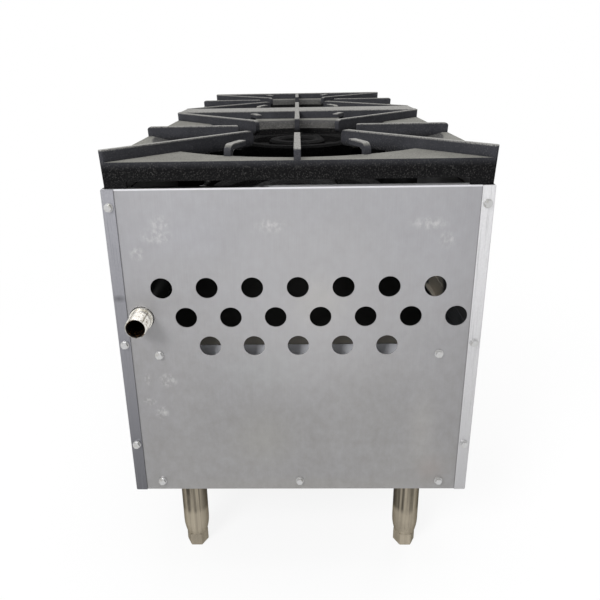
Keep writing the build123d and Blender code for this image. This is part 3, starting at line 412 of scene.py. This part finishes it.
def side_sheet(name, side):
    """A side panel: brushed outside, sooty and painted dark as shade inside, with painted light and
    shade on the rear flange.
    """
    color, metallic = tuple(colors().side_steel), 0.7
    steel, stained = brushed_steel(name, color, 0.36, grain="Z", dirt=0.25, metallic=metallic)
    across = steel.times(steel.axis("X"), float(side))
    # The flange: painted light on one side, painted shade a little blue on the other, and painted
    # darker lower down
    flange = tuple(colors().right_flange_painted_shade if side > 0 else colors().left_flange_painted_light)
    low = steel.scaled(flange, 0.3 if side > 0 else 0.55)
    grime = steel.noise((0.002, 0.002, 0.003), detail=3.0)
    fall = steel.between(steel.axis("Z"), DECK_Z - 0.02, PANEL_LOW.z, smooth=False)
    toned = steel.mixed(fall, flange, low)
    toned = steel.mixed(steel.spread(grime, 0.0, 0.4), toned, steel.scaled(flange, 0.5))
    streaks = steel.noise((0.0012, 0.0012, 0.06), detail=4.0, roughness=0.7)
    streaks = steel.times(steel.between(streaks, 0.52, 0.7), 0.6)
    toned = steel.mixed(streaks, toned, steel.scaled(flange, 0.5))
    on_flange = steel.between(steel.axis("Y"), SIDE_HIGH.y - 0.0009, SIDE_HIGH.y - 0.0004)
    shade = steel.mixed(on_flange, stained, toned)
    if side > 0:
        nick = steel.patch(*FLANGE_NICK)
        shade = steel.mixed(steel.times(nick, 0.8), shade, (0.12, 0.12, 0.13))
    cloud = steel.noise((0.03, 0.03, 0.03), detail=4.0)
    inside = steel.between(across, PANEL_HIGH.x + 0.0006, PANEL_HIGH.x + 0.0001, smooth=False)
    # Sooty black, partly painted shade, lies between the two flanges, never on their outer faces
    forward = steel.math("SUBTRACT", 1.0, on_flange)
    behind = steel.between(steel.axis("Y"), SIDE_LOW.y + 0.0004, SIDE_LOW.y + 0.0009)
    inside = steel.times(inside, steel.times(forward, behind))
    cover = steel.times(inside, steel.spread(cloud, 0.97, 1.0))
    sooted_and_shaded = soot_and_shade_over(steel, shade, cover, metallic)
    steel.feed("Base Color", with_painted_light_patch(steel, sooted_and_shaded, inside))
    return steel.material


def galvanized(name, soot_and_shade=0.98):
    """Galvanized sheet with its crystals, dulled by sooty grime and by painted shade."""
    color, metallic = tuple(colors().zinc), 0.8
    sheet = Finish(name, color, metallic, 0.5)
    crystals = sheet.cells(sizes().spangle)
    shade = sheet.mixed(crystals, sheet.scaled(color, 0.82), sheet.scaled(color, 1.12))
    cloud = sheet.noise((0.05, 0.05, 0.05), detail=5.0)
    cover = sheet.math("ADD", soot_and_shade, sheet.spread(cloud, -0.08, 0.08), clamp=True)
    sheet.feed("Base Color", with_painted_light_patch(sheet, soot_and_shade_over(sheet, shade, cover, metallic)))
    sheet.feed("Roughness", sheet.spread(crystals, 0.42, 0.6))
    return sheet.material


def cast_iron(name, low, top, wear=1.0, cover=1.0):
    """Rough seasoned iron, darker low down, with an ashy film on level faces that is partly painted
    light from above, and rubbed pale on top.
    """
    iron_color = tuple(colors().iron)
    iron = Finish(name, iron_color, 0.0, 0.8)
    iron.shader.inputs["Specular IOR Level"].default_value = 0.04
    grain = sizes().casting_grain
    pits = iron.noise((grain,) * 3, detail=4.0, roughness=0.65)
    lumps = iron.noise((grain * 9,) * 3, detail=4.0)
    blotches = iron.noise((0.03,) * 3, detail=5.0, roughness=0.6)
    rise = iron.between(iron.axis("Z"), low + (top - low) * 0.45, low + (top - low) * 0.8)
    # Upright faces grow paler and bluer towards the top, in blotches
    paler_higher = iron.times(rise, iron.spread(blotches, 0.35, 1.0))
    upright = iron.mixed(paler_higher, iron_color, (0.06, 0.061, 0.07))
    salt = iron.between(pits, 0.5, 0.7)
    salted = iron.times(salt, iron.spread(lumps, 0.0, 0.5))
    upright = iron.mixed(salted, upright, (0.15, 0.146, 0.14))
    # Slopes, as in the bowl, are black with pale crumbs
    sloping = iron.times(iron.between(iron.upward(), 0.5, 0.8), cover)
    patchy = iron.times(sloping, iron.spread(blotches, 0.1, 0.7))
    upright = iron.mixed(patchy, upright, (0.085, 0.083, 0.078))
    crumbs = iron.times(sloping, iron.between(pits, 0.56, 0.66))
    upright = iron.mixed(iron.times(crumbs, 0.5), upright, (0.3, 0.29, 0.27))
    # Level faces hold an ashy film, painted paler partly as the light falling from above
    plate = top - sizes().plate_drop
    on_plate = iron.between(iron.axis("Z"), plate - ASH_FADE[0], plate - ASH_FADE[1])
    up_facing_ash_and_light = iron.times(iron.between(iron.upward(), 0.45, 0.97), on_plate)
    thin, thick = iron.scaled(colors().ash_and_top_light, 0.55), iron.scaled(colors().ash_and_top_light, 1.3)
    ash_and_top_light = iron.mixed(iron.spread(blotches, 0.2, 0.8), thin, thick)
    pepper = iron.between(pits, 0.36, 0.5)
    film = iron.times(iron.times(up_facing_ash_and_light, cover), iron.spread(pepper, 0.45, 1.0))
    shade = iron.mixed(film, upright, ash_and_top_light)
    # The tops are rubbed by pots
    level = iron.between(iron.axis("Z"), top - RUBBED_FADE[0], top - RUBBED_FADE[1])
    rubbed = iron.times(iron.times(level, wear), iron.between(pits, 0.3, 0.6))
    iron.feed("Base Color", iron.mixed(rubbed, shade, tuple(colors().worn_iron)))
    iron.feed("Roughness", iron.spread(lumps, 0.7, 0.9))
    rough = iron.bump(pits, 0.0006)
    iron.bump(lumps, 0.0014, under=rough)
    return iron.material


def plated(name, color, roughness=0.3, grime=0.35, metallic=0.8, pitting=0.00006):
    """Zinc-plated steel, mottled and a little grimy."""
    metal = Finish(name, color, metallic, roughness)
    cloud = metal.noise((0.006, 0.006, 0.006), detail=4.0)
    fine = metal.noise((0.0015, 0.0015, 0.0015), detail=2.0)
    dirt = metal.spread(metal.between(cloud, 0.48, 0.7), 0.0, grime)
    shade = metal.mixed(dirt, color, (0.25, 0.22, 0.13))
    metal.feed("Base Color", shade)
    metal.feed("Roughness", metal.spread(fine, roughness - 0.08, roughness + 0.14))
    metal.bump(fine, pitting)
    return metal, shade


def pipe_zinc(name):
    """The gas pipe: bright and yellowish outside with painted reflection streaks, painted black as
    shade in its bore, with specks of rust there.
    """
    metallic = 0.8
    metal, shade = plated(name, tuple(colors().bright_zinc), 0.2, 0.15, metallic, 0.00001)
    # Painted reflection: dark streaks along the pipe
    streaks = metal.between(metal.noise((0.006, 0.5, 0.006), detail=2.0), 0.46, 0.6)
    shade = metal.mixed(metal.times(streaks, 0.75), shade, (0.2, 0.185, 0.15))
    low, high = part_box("inlet_nipple")
    middle = (low + high) / 2
    radius = (high.x - low.x) / 2
    links = {"Vector": metal.object_point, "Location": (-middle.x, 0.0, -middle.z), "Scale": (1, 0, 1)}
    flat = metal.add("ShaderNodeMapping", links).outputs["Vector"]
    out = metal.add("ShaderNodeVectorMath", {0: flat}, operation="LENGTH").outputs["Value"]
    ream = sizes().pipe_ream
    # Painted shade: the bore is drawn black
    bore = metal.between(out, radius - ream * 0.8, radius - ream * 1.1)
    specks = metal.between(metal.noise((0.0022,) * 3, detail=3.0), 0.56, 0.66)
    shade = soot_and_shade_over(metal, shade, bore, metallic)
    rusted = metal.times(specks, metal.between(out, radius - 0.004, radius - 0.0012))
    metal.feed("Base Color", metal.mixed(metal.times(rusted, 0.8), shade, tuple(colors().rust)))
    return metal.material


def leg_tube(name):
    """Stainless tube with drawing lines, and broad dull bands up the leg painted as reflections, with
    painted shade on its sides.
    """
    color = tuple(colors().leg)
    steel = Finish(name, color, 0.8, 0.34)
    steel.shader.inputs["Specular Tint"].default_value = (0.3, 0.28, 0.24, 1.0)
    low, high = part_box("rear_right_leg")
    beside = steel.math("SUBTRACT", steel.math("ABSOLUTE", steel.axis("X")), (low.x + high.x) / 2)
    # Painted shade: the tube's sides across X are drawn dark
    painted_shade_flank = steel.between(steel.math("ABSOLUTE", beside), *LEG_PAINTED_SHADE_FLANK)
    lines = steel.noise((0.0008, 0.0008, 0.09), detail=3.0, roughness=0.6)
    bands = steel.noise((0.012, 0.012, 0.6), detail=3.0)
    cloud = steel.noise((0.03, 0.03, 0.03), detail=3.0)
    dark, light = steel.scaled(color, 0.82), steel.scaled(color, 1.12)
    shade = steel.mixed(steel.spread(lines, 0.2, 0.8), dark, light)
    # Painted reflection and shade: the dull bands and the dark sides
    dull = steel.math("MAXIMUM", steel.between(bands, 0.44, 0.6), painted_shade_flank)
    # The painted bands and sides are weaker on the foot below the shoulder, which stays brighter than
    # the tube
    shoulder = steel.between(steel.axis("Z"), low.z + LEG_SHOULDER[0], low.z + LEG_SHOULDER[1])
    tube = steel.spread(shoulder, 0.3, 0.92)
    shade = steel.mixed(steel.times(dull, tube), shade, steel.scaled(color, 0.08))
    dirt = steel.spread(steel.between(cloud, 0.4, 0.7), 0.0, 0.4)
    steel.feed("Base Color", steel.mixed(dirt, shade, steel.scaled(color, 0.5)))
    steel.feed("Roughness", steel.spread(lines, 0.22, 0.38))
    steel.bump(lines, 0.00003)
    return steel.material


def drip_sheet(name):
    """The drip tray: zinc-grey sheet whose floor is coated with old grease, near-black partly as
    painted shade, with painted light near its rear wall.
    """
    color, metallic = tuple(colors().front_steel), 0.7
    sheet = Finish(name, color, metallic, 0.4)
    sheet.shader.inputs["Specular IOR Level"].default_value = 0.05
    low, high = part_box("drip_tray")
    lines = sheet.noise((0.05, 0.0012, 0.0012), detail=2.0)
    cloud = sheet.noise((0.05, 0.05, 0.05), detail=4.0)
    dark, light = sheet.scaled(color, 0.9), sheet.scaled(color, 1.08)
    steel = sheet.mixed(sheet.spread(lines, 0.2, 0.8), dark, light)
    # Painted light: the rear wall is drawn near-white where light comes in through the vents, and its
    # top lip near-black as a painted shadow
    end = sheet.between(sheet.axis("Y"), high.y - 0.004, high.y - 0.001)
    painted_shadow_lip = sheet.times(end, sheet.between(sheet.upward(), 0.4, 0.8))
    steel = sheet.mixed(end, steel, (0.9, 0.91, 0.96))
    steel = sheet.mixed(painted_shadow_lip, steel, (0.004, 0.004, 0.004))
    behind = sheet.between(sheet.axis("Y"), low.y + 0.004, low.y + 0.008)
    bare = sheet.math("SUBTRACT", 1.0, end)
    cover = sheet.times(sheet.times(bare, behind), sheet.spread(cloud, 0.98, 1.0))
    clean = sheet.math("SUBTRACT", bare, cover, clamp=True)
    sheet.feed("Metallic", sheet.times(clean, metallic))
    # Old grease, paler along the rear wall as painted light from the vents
    painted_light_near_vents = sheet.between(sheet.axis("Y"), high.y - 0.09, high.y - 0.035)
    coat = sheet.mixed(painted_light_near_vents, tuple(colors().grease), (0.16, 0.15, 0.13))
    sheet.feed("Base Color", sheet.mixed(cover, steel, coat))
    sheet.feed("Roughness", sheet.spread(cloud, 0.5, 0.7))
    sheet.bump(sheet.times(cover, cloud), 0.0006)
    return sheet.material


def plain_metal(name, color, metallic, roughness, spacing=0.004):
    """Small metal and lacquered parts, with a faint mottle."""
    metal = Finish(name, color, metallic, roughness)
    cloud = metal.noise((spacing,) * 3, detail=3.0)
    metal.feed("Base Color", metal.mixed(cloud, metal.scaled(color, 0.75), metal.scaled(color, 1.2)))
    metal.feed("Roughness", metal.spread(cloud, roughness - 0.08, roughness + 0.12))
    metal.bump(cloud, 0.00008)
    return metal.material


def moulded_plastic(name):
    """Black moulded plastic with a fine grain and a painted pointer line on each knob."""
    color = tuple(colors().knob)
    plastic = Finish(name, color, 0.0, 0.42)
    grain = plastic.noise((0.0006,) * 3, detail=2.0)
    across = plastic.math("ABSOLUTE", plastic.axis("X"))
    gaps = []
    for knob in ("rear_outer", "front_outer"):
        low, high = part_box(f"{knob}_knob")
        away = plastic.math("SUBTRACT", across, (low.x + high.x) / 2)
        gaps.append(plastic.math("ABSOLUTE", away))
    near = plastic.math("MINIMUM", *gaps)
    middle_z = (KNOB_LOW.z + KNOB_HIGH.z) / 2
    line = plastic.between(near, 0.0013, 0.0011)
    upper = plastic.between(plastic.axis("Z"), middle_z + 0.003, middle_z + 0.0035)
    face = plastic.between(plastic.axis("Y"), KNOB_LOW.y + 0.0006, KNOB_LOW.y + 0.0003)
    paint = plastic.times(plastic.times(line, upper), face)
    plastic.feed("Base Color", plastic.mixed(paint, color, tuple(colors().mark)))
    plastic.feed("Roughness", plastic.spread(grain, 0.36, 0.5))
    plastic.bump(grain, 0.00004)
    return plastic.material


# Modelling -------------------------------------------------------------------------------------


def pick(*objects):
    """Selects only these objects, the first one active."""
    bpy.ops.object.select_all(action="DESELECT")
    for chosen in objects:
        chosen.select_set(True)
    bpy.context.view_layer.objects.active = objects[0]


def hold(piece, body, slot, *nodes):
    """Lets piece ride on body in the place of nodes. The argument slot is not used."""
    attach(piece, body)
    if nodes:
        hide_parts(*nodes)
    return piece


def body_of(node):
    """The body that a CAD node belongs to."""
    bodies = frame["record"]["behaviour"]["bodies"]
    return next(body for body, members in bodies.items() if node in members)


def slot_of(node):
    """The record's material slot of a CAD node."""
    return next(s["material_slot"] for s in frame["record"]["subparts"] if s["node"] == node)


def finish_node(node, material):
    """Gives a CAD node its material."""
    mesh = frame["nodes"][node].data
    mesh.materials.clear()
    mesh.materials.append(material)


def merged_copy(node, name):
    """A copy of a CAD node with its loose triangles joined and its flat faces whole."""
    mesh = frame["nodes"][node].data.copy()
    mesh.name = name
    piece = bpy.data.objects.new(name, mesh)
    bpy.context.scene.collection.objects.link(piece)
    mesh.materials.clear()
    pick(piece)
    bpy.ops.object.mode_set(mode="EDIT")
    bpy.ops.mesh.select_all(action="SELECT")
    bpy.ops.mesh.remove_doubles(threshold=SAME_POINT)
    bpy.ops.mesh.customdata_custom_splitnormals_clear()
    bpy.ops.mesh.dissolve_limited(angle_limit=FLAT_ANGLE, delimit=set())
    bpy.ops.object.mode_set(mode="OBJECT")
    return piece


def round_edges(piece, radius, segments=2, keep=None):
    """Bevels the sharp edges of piece, or those of them that keep accepts, and shades it smooth."""
    pick(piece)
    bpy.ops.object.mode_set(mode="EDIT")
    bpy.ops.mesh.select_mode(type="EDGE")
    bpy.ops.mesh.select_all(action="DESELECT")
    bpy.ops.mesh.edges_select_sharp(sharpness=SHARP_ANGLE)
    if keep is not None:
        shape = bmesh.from_edit_mesh(piece.data)
        for edge in shape.edges:
            edge.select = edge.select and keep(edge)
        bmesh.update_edit_mesh(piece.data)
    bpy.ops.mesh.bevel(offset=radius, segments=segments, profile=0.5, clamp_overlap=True)
    bpy.ops.object.mode_set(mode="OBJECT")
    bpy.ops.object.shade_smooth_by_angle(angle=SHARP_ANGLE)
    bpy.ops.object.modifier_add(type="WEIGHTED_NORMAL")
    piece.modifiers[-1].keep_sharp = True
    bpy.ops.object.modifier_apply(modifier=piece.modifiers[-1].name)


def at_fold(edge):
    """Tells whether an edge lies on the outer face of a side panel, where its flanges fold."""
    return all(abs(abs(vertex.co.x) - SIDE_HIGH.x) < SAME_PLACE for vertex in edge.verts)


def at_rib_end(edge):
    """Tells whether an edge lies across the top of a rib, at its end."""
    lowest = min(vertex.co.z for vertex in edge.verts)
    return lowest > GRATE_HIGH.z - 0.0005 and edge.calc_length() < sizes().rib_width


def stand_in(piece, node, material):
    """Gives piece its material and lets it take a CAD node's place."""
    piece.data.materials.append(material)
    return hold(piece, body_of(node), slot_of(node), node)


def dressed_copy(node, name, radius, material, segments=2):
    """A softened copy of a CAD node, which stands in its place."""
    piece = merged_copy(node, name)
    round_edges(piece, radius, segments)
    return stand_in(piece, node, material)


def threaded_nipple(node, name, material):
    """The pipe nipple: its wall with the screw thread that shows on the free end."""
    made_to = sizes()
    low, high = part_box(node)
    middle = (low + high) / 2
    radius, reach = (high.x - low.x) / 2, high.y - low.y
    inner, lip = radius - made_to.pipe_wall, radius - made_to.pipe_ream
    rows = round(reach / made_to.thread_pitch * ROWS_A_PITCH)
    # Past the outer rows: the mouth's lip, the reamed edge, the bore's far end and the first row again
    back = ((lip, reach), (inner, reach - (lip - inner)), (inner, 0.0))
    stations = rows + len(back) + 1
    bpy.ops.object.select_all(action="DESELECT")
    bpy.ops.mesh.primitive_grid_add(x_subdivisions=NIPPLE_SIDES, y_subdivisions=stations, size=1.0)
    piece = bpy.context.active_object
    piece.name = piece.data.name = name
    for vertex in piece.data.vertices:
        turn = vertex.co.x + 0.5
        station = round((vertex.co.y + 0.5) * stations) % stations
        if station > rows:
            out, along = back[station - rows - 1]
        else:
            along = station / rows * reach
            cut = min(1.0, max(0.0, (along - made_to.thread_start) / made_to.thread_pitch))
            tooth = abs(2 * ((along / made_to.thread_pitch + turn) % 1.0) - 1)
            seat = made_to.seat_depth if along < made_to.seat_length else 0.0
            end = max(0.0, along - reach + made_to.end_chamfer)
            out = radius - max(seat, end, cut * made_to.thread_depth * tooth)
        angle = 2 * math.pi * turn
        vertex.co = (middle.x + out * math.cos(angle), low.y + along, middle.z + out * math.sin(angle))
    pick(piece)
    bpy.ops.object.mode_set(mode="EDIT")
    bpy.ops.mesh.select_all(action="SELECT")
    bpy.ops.mesh.remove_doubles(threshold=SAME_POINT)
    bpy.ops.mesh.normals_make_consistent(inside=False)
    bpy.ops.object.mode_set(mode="OBJECT")
    bpy.ops.object.shade_smooth_by_angle(angle=THREAD_SMOOTH_ANGLE)
    return stand_in(piece, node, material)


# Pieces ----------------------------------------------------------------------------------------


class RANGE_OT_casing(Operator):
    """Rear, side and front panels, base pan and cross rails"""

    bl_idname = "range.casing"
    bl_label = "Casing"

    def execute(self, context):
        edge = sizes().sheet_edge
        dressed_copy("rear_panel", "vented_rear_panel", edge, rear_sheet("rear_sheet"))
        for side, name in ((-1, "left_side_panel"), (1, "right_side_panel")):
            material = side_sheet(f"{name}_sheet", side)
            piece = merged_copy(name, f"folded_{name}")
            round_edges(piece, sizes().fold_radius, 3, keep=at_fold)
            stand_in(piece, name, material)
        front, _ = brushed_steel("front_sheet", tuple(colors().front_steel), 0.3, grain="X", dirt=0.12)
        dressed_copy("control_panel", "brushed_control_panel", edge, front.material)
        dressed_copy("lower_front_panel", "brushed_lower_panel", edge, front.material)
        zinc = galvanized("galvanized_sheet")
        for node in ("base_pan", "orifice_rail", "manifold_brackets"):
            finish_node(node, zinc)
        runner = galvanized("runner_sheet", soot_and_shade=0.6)
        for side in ("left", "right"):
            finish_node(f"{side}_tray_runner", runner)
        for burner in BURNERS:
            for end in ("back", "front"):
                finish_node(f"{burner}_burner_{end}_rail", zinc)
        return {"FINISHED"}


class RANGE_OT_screws(Operator):
    """Panel screws and leg bolts"""

    bl_idname = "range.screws"
    bl_label = "Screws"

    def execute(self, context):
        zinc, _ = plated("screw_zinc", tuple(colors().screw), roughness=0.34, grime=0.3, metallic=0.75)
        dressed_copy("panel_screws", "washer_head_screws", sizes().machined_edge, zinc.material)
        finish_node("leg_bolts", zinc.material)
        return {"FINISHED"}


class RANGE_OT_grates(Operator):
    """The two cast-iron grates and the bar between them"""

    bl_idname = "range.grates"
    bl_label = "Grates"

    def execute(self, context):
        iron = cast_iron("grate_iron", GRATE_LOW.z, GRATE_HIGH.z)
        for burner in BURNERS:
            node = f"{burner}_grate"
            piece = merged_copy(node, f"{node}_casting")
            round_edges(piece, sizes().rib_end, 4, keep=at_rib_end)
            round_edges(piece, sizes().casting_edge, 3)
            stand_in(piece, node, iron)
        dressed_copy("center_bar", "center_bar_casting", sizes().casting_edge, iron, 3)
        return {"FINISHED"}


class RANGE_OT_burners(Operator):
    """Cast burners with their air shutters and pilots"""

    bl_idname = "range.burners"
    bl_label = "Burners"

    def execute(self, context):
        low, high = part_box("rear_burner")
        # The burners stay near-black all over: sooty iron, and painted shade where they sit in the dark
        # under the grates
        iron = cast_iron("burner_iron", high.z, high.z + 1, wear=0.0, cover=0.04)
        tube = plain_metal("gas_tube", tuple(colors().aluminium), 0.95, 0.35)
        shutter = plain_metal("shutter_sheet", tuple(colors().zinc), 0.9, 0.45)
        for burner in BURNERS:
            finish_node(f"{burner}_burner", iron)
            finish_node(f"{burner}_pilot", tube)
        for knob in KNOBS:
            finish_node(f"{knob}_shutter", shutter)
        finish_node("rear_outer_feed_tube", tube)
        finish_node("rear_inner_feed_tube", tube)
        return {"FINISHED"}


class RANGE_OT_gas_line(Operator):
    """Gas inlet, supply pipe, manifold and valves"""

    bl_idname = "range.gas_line"
    bl_label = "Gas line"

    def execute(self, context):
        zinc = pipe_zinc("inlet_zinc")
        threaded_nipple("inlet_nipple", "threaded_inlet_nipple", zinc)
        collar, _ = plated("coupling_zinc", tuple(colors().bright_zinc), roughness=0.24, grime=0.6)
        dressed_copy("inlet_coupling", "inlet_pipe_coupling", sizes().machined_edge, collar.material)
        black = plain_metal("lacquered_pipe", tuple(colors().black_pipe), 0.2, 0.4)
        for node in ("supply_pipe", "supply_elbow", "manifold_pipe", "manifold_plug"):
            finish_node(node, black)
        brass = plain_metal("valve_brass", tuple(colors().brass), 0.95, 0.32)
        for node in ("pilot_valves", "front_orifices", "rear_orifices"):
            finish_node(node, brass)
        for knob in KNOBS:
            finish_node(f"{knob}_valve", brass)
        return {"FINISHED"}


class RANGE_OT_knobs(Operator):
    """Control knobs and their stems"""

    bl_idname = "range.knobs"
    bl_label = "Knobs"

    def execute(self, context):
        plastic = moulded_plastic("knob_plastic")
        steel = plain_metal("stem_steel", tuple(colors().front_steel), 0.95, 0.3)
        for knob in KNOBS:
            dressed_copy(f"{knob}_knob", f"{knob}_grip_knob", sizes().knob_edge, plastic, 3)
            finish_node(f"{knob}_stem", steel)
        return {"FINISHED"}


class RANGE_OT_tray(Operator):
    """Drip tray and its pull"""

    bl_idname = "range.tray"
    bl_label = "Drip tray"

    def execute(self, context):
        sheet = drip_sheet("tray_sheet")
        dressed_copy("drip_tray", "greasy_drip_tray", sizes().sheet_edge, sheet)
        finish_node("tray_pull", plain_metal("pull_steel", tuple(colors().front_steel), 1.0, 0.18))
        return {"FINISHED"}


class RANGE_OT_legs(Operator):
    """Tube legs and their levelling feet"""

    bl_idname = "range.legs"
    bl_label = "Legs"

    def execute(self, context):
        tube = leg_tube("leg_tube")
        for leg in LEGS:
            dressed_copy(f"{leg}_leg", f"{leg}_tube_leg", sizes().machined_edge, tube)
            dressed_copy(f"{leg}_foot", f"{leg}_hex_foot", sizes().machined_edge * 2, tube)
        return {"FINISHED"}


# Stage -----------------------------------------------------------------------------------------


def seen_directly(tree):
    """1 for what the camera or a reflection sees, and 0 for the light that falls on the object."""
    path = tree.nodes.new("ShaderNodeLightPath")
    seen = path.outputs["Is Camera Ray"]
    for ray in ("Is Glossy Ray", "Is Transmission Ray"):
        larger = tree.nodes.new("ShaderNodeMath")
        larger.operation = "MAXIMUM"
        tree.links.new(seen, larger.inputs[0])
        tree.links.new(path.outputs[ray], larger.inputs[1])
        seen = larger.outputs[0]
    return seen


def pale_floor():
    """A matt floor that shows as white, with a faint shadow around the object."""
    material = bpy.data.materials.new("pale_floor")
    material.use_nodes = True
    tree = material.node_tree
    shader = tree.nodes["Principled BSDF"]
    shader.inputs["Base Color"].default_value = FLOOR_GREY
    shader.inputs["Roughness"].default_value = 0.9
    glow = tree.nodes.new("ShaderNodeEmission")
    place = tree.nodes.new("ShaderNodeTexCoord")
    away = tree.nodes.new("ShaderNodeVectorMath")
    away.operation = "LENGTH"
    share = tree.nodes.new("ShaderNodeMapRange")
    share.inputs["From Min"].default_value = FLOOR_NEAR
    share.inputs["From Max"].default_value = FLOOR_FAR
    share.inputs["To Min"].default_value = FLOOR_SHOWN_NEAR
    share.inputs["To Max"].default_value = FLOOR_SHOWN_FAR
    shown = tree.nodes.new("ShaderNodeMath")
    shown.operation = "MULTIPLY"
    mix = tree.nodes.new("ShaderNodeMixShader")
    tree.links.new(place.outputs["Object"], away.inputs[0])
    tree.links.new(away.outputs["Value"], share.inputs["Value"])
    tree.links.new(seen_directly(tree), shown.inputs[0])
    tree.links.new(share.outputs["Result"], shown.inputs[1])
    tree.links.new(shown.outputs[0], mix.inputs[0])
    tree.links.new(shader.outputs[0], mix.inputs[1])
    tree.links.new(glow.outputs[0], mix.inputs[2])
    tree.links.new(mix.outputs[0], tree.nodes["Material Output"].inputs["Surface"])
    return material


def studio_world():
    """White all round for the camera and for reflections, softer as light."""
    world = bpy.data.worlds.new("studio")
    world.use_nodes = True
    tree = world.node_tree
    background = tree.nodes["Background"]
    background.inputs["Color"].default_value = (1, 1, 1, 1)
    strength = tree.nodes.new("ShaderNodeMapRange")
    strength.inputs["To Min"].default_value = WORLD_LIGHT
    strength.inputs["To Max"].default_value = WORLD_SHOWN
    tree.links.new(seen_directly(tree), strength.inputs["Value"])
    tree.links.new(strength.outputs["Result"], background.inputs["Strength"])
    return world


class RANGE_OT_stage(Operator):
    """Pale floor, soft lamps and the camera"""

    bl_idname = "range.stage"
    bl_label = "Stage"

    def execute(self, context):
        bpy.ops.mesh.primitive_plane_add(size=FLOOR_SIZE, location=(0, 0, 0))
        floor = context.active_object
        floor.name = "floor"
        floor.data.materials.append(pale_floor())
        context.scene.world = studio_world()

        for name, place, size, power in LAMPS:
            bpy.ops.object.light_add(type="AREA", location=place)
            lamp = context.active_object
            lamp.name = f"{name}_lamp"
            lamp.data.shape = "DISK"
            lamp.data.size = size
            lamp.data.energy = power
            lamp.rotation_euler = (Vector(place) - LAMP_TARGET).to_track_quat("Z", "Y").to_euler()

        bpy.ops.object.camera_add(location=(CAMERA_X, SIDE_HIGH.y + CAMERA_BEHIND, CAMERA_Z))
        camera = context.active_object
        camera.name = "camera"
        camera.rotation_euler = [math.radians(angle) for angle in CAMERA_TURN]
        camera.data.sensor_width = 36.0
        camera.data.lens = CAMERA_LENS
        camera.data.shift_x, camera.data.shift_y = CAMERA_SHIFT
        context.scene.camera = camera
        context.scene.view_settings.view_transform = "Standard"
        return {"FINISHED"}


class RANGE_PT_build(Panel):
    """Lists the pieces of the range and their settings"""

    bl_idname = "RANGE_PT_build"
    bl_label = "Stock Pot Range"
    bl_space_type = "VIEW_3D"
    bl_region_type = "UI"
    bl_category = "Range"

    def draw(self, context):
        layout = self.layout
        for operator in OPERATORS:
            layout.operator(operator.bl_idname)
        for settings in (context.scene.range_sizes, context.scene.range_colors):
            box = layout.box()
            for name in settings.__annotations__:
                box.prop(settings, name)


OPERATORS = (
    RANGE_OT_casing,
    RANGE_OT_screws,
    RANGE_OT_grates,
    RANGE_OT_burners,
    RANGE_OT_gas_line,
    RANGE_OT_knobs,
    RANGE_OT_tray,
    RANGE_OT_legs,
    RANGE_OT_stage,
)


def register():
    """Adds the classes and their settings to Blender."""
    for entry in (RangeSizes, RangeColors, *OPERATORS, RANGE_PT_build):
        bpy.utils.register_class(entry)
    bpy.types.Scene.range_sizes = PointerProperty(type=RangeSizes)
    bpy.types.Scene.range_colors = PointerProperty(type=RangeColors)


def unregister():
    """Takes them out again."""
    del bpy.types.Scene.range_colors
    del bpy.types.Scene.range_sizes
    for entry in reversed((RangeSizes, RangeColors, *OPERATORS, RANGE_PT_build)):
        bpy.utils.unregister_class(entry)


def main():
    """Makes every piece in order."""
    register()
    bpy.ops.object.select_all(action="DESELECT")
    bpy.ops.range.casing()
    bpy.ops.range.screws()
    bpy.ops.range.grates()
    bpy.ops.range.burners()
    bpy.ops.range.gas_line()
    bpy.ops.range.knobs()
    bpy.ops.range.tray()
    bpy.ops.range.legs()
    bpy.ops.range.stage()


if __name__ == "__main__":
    main()
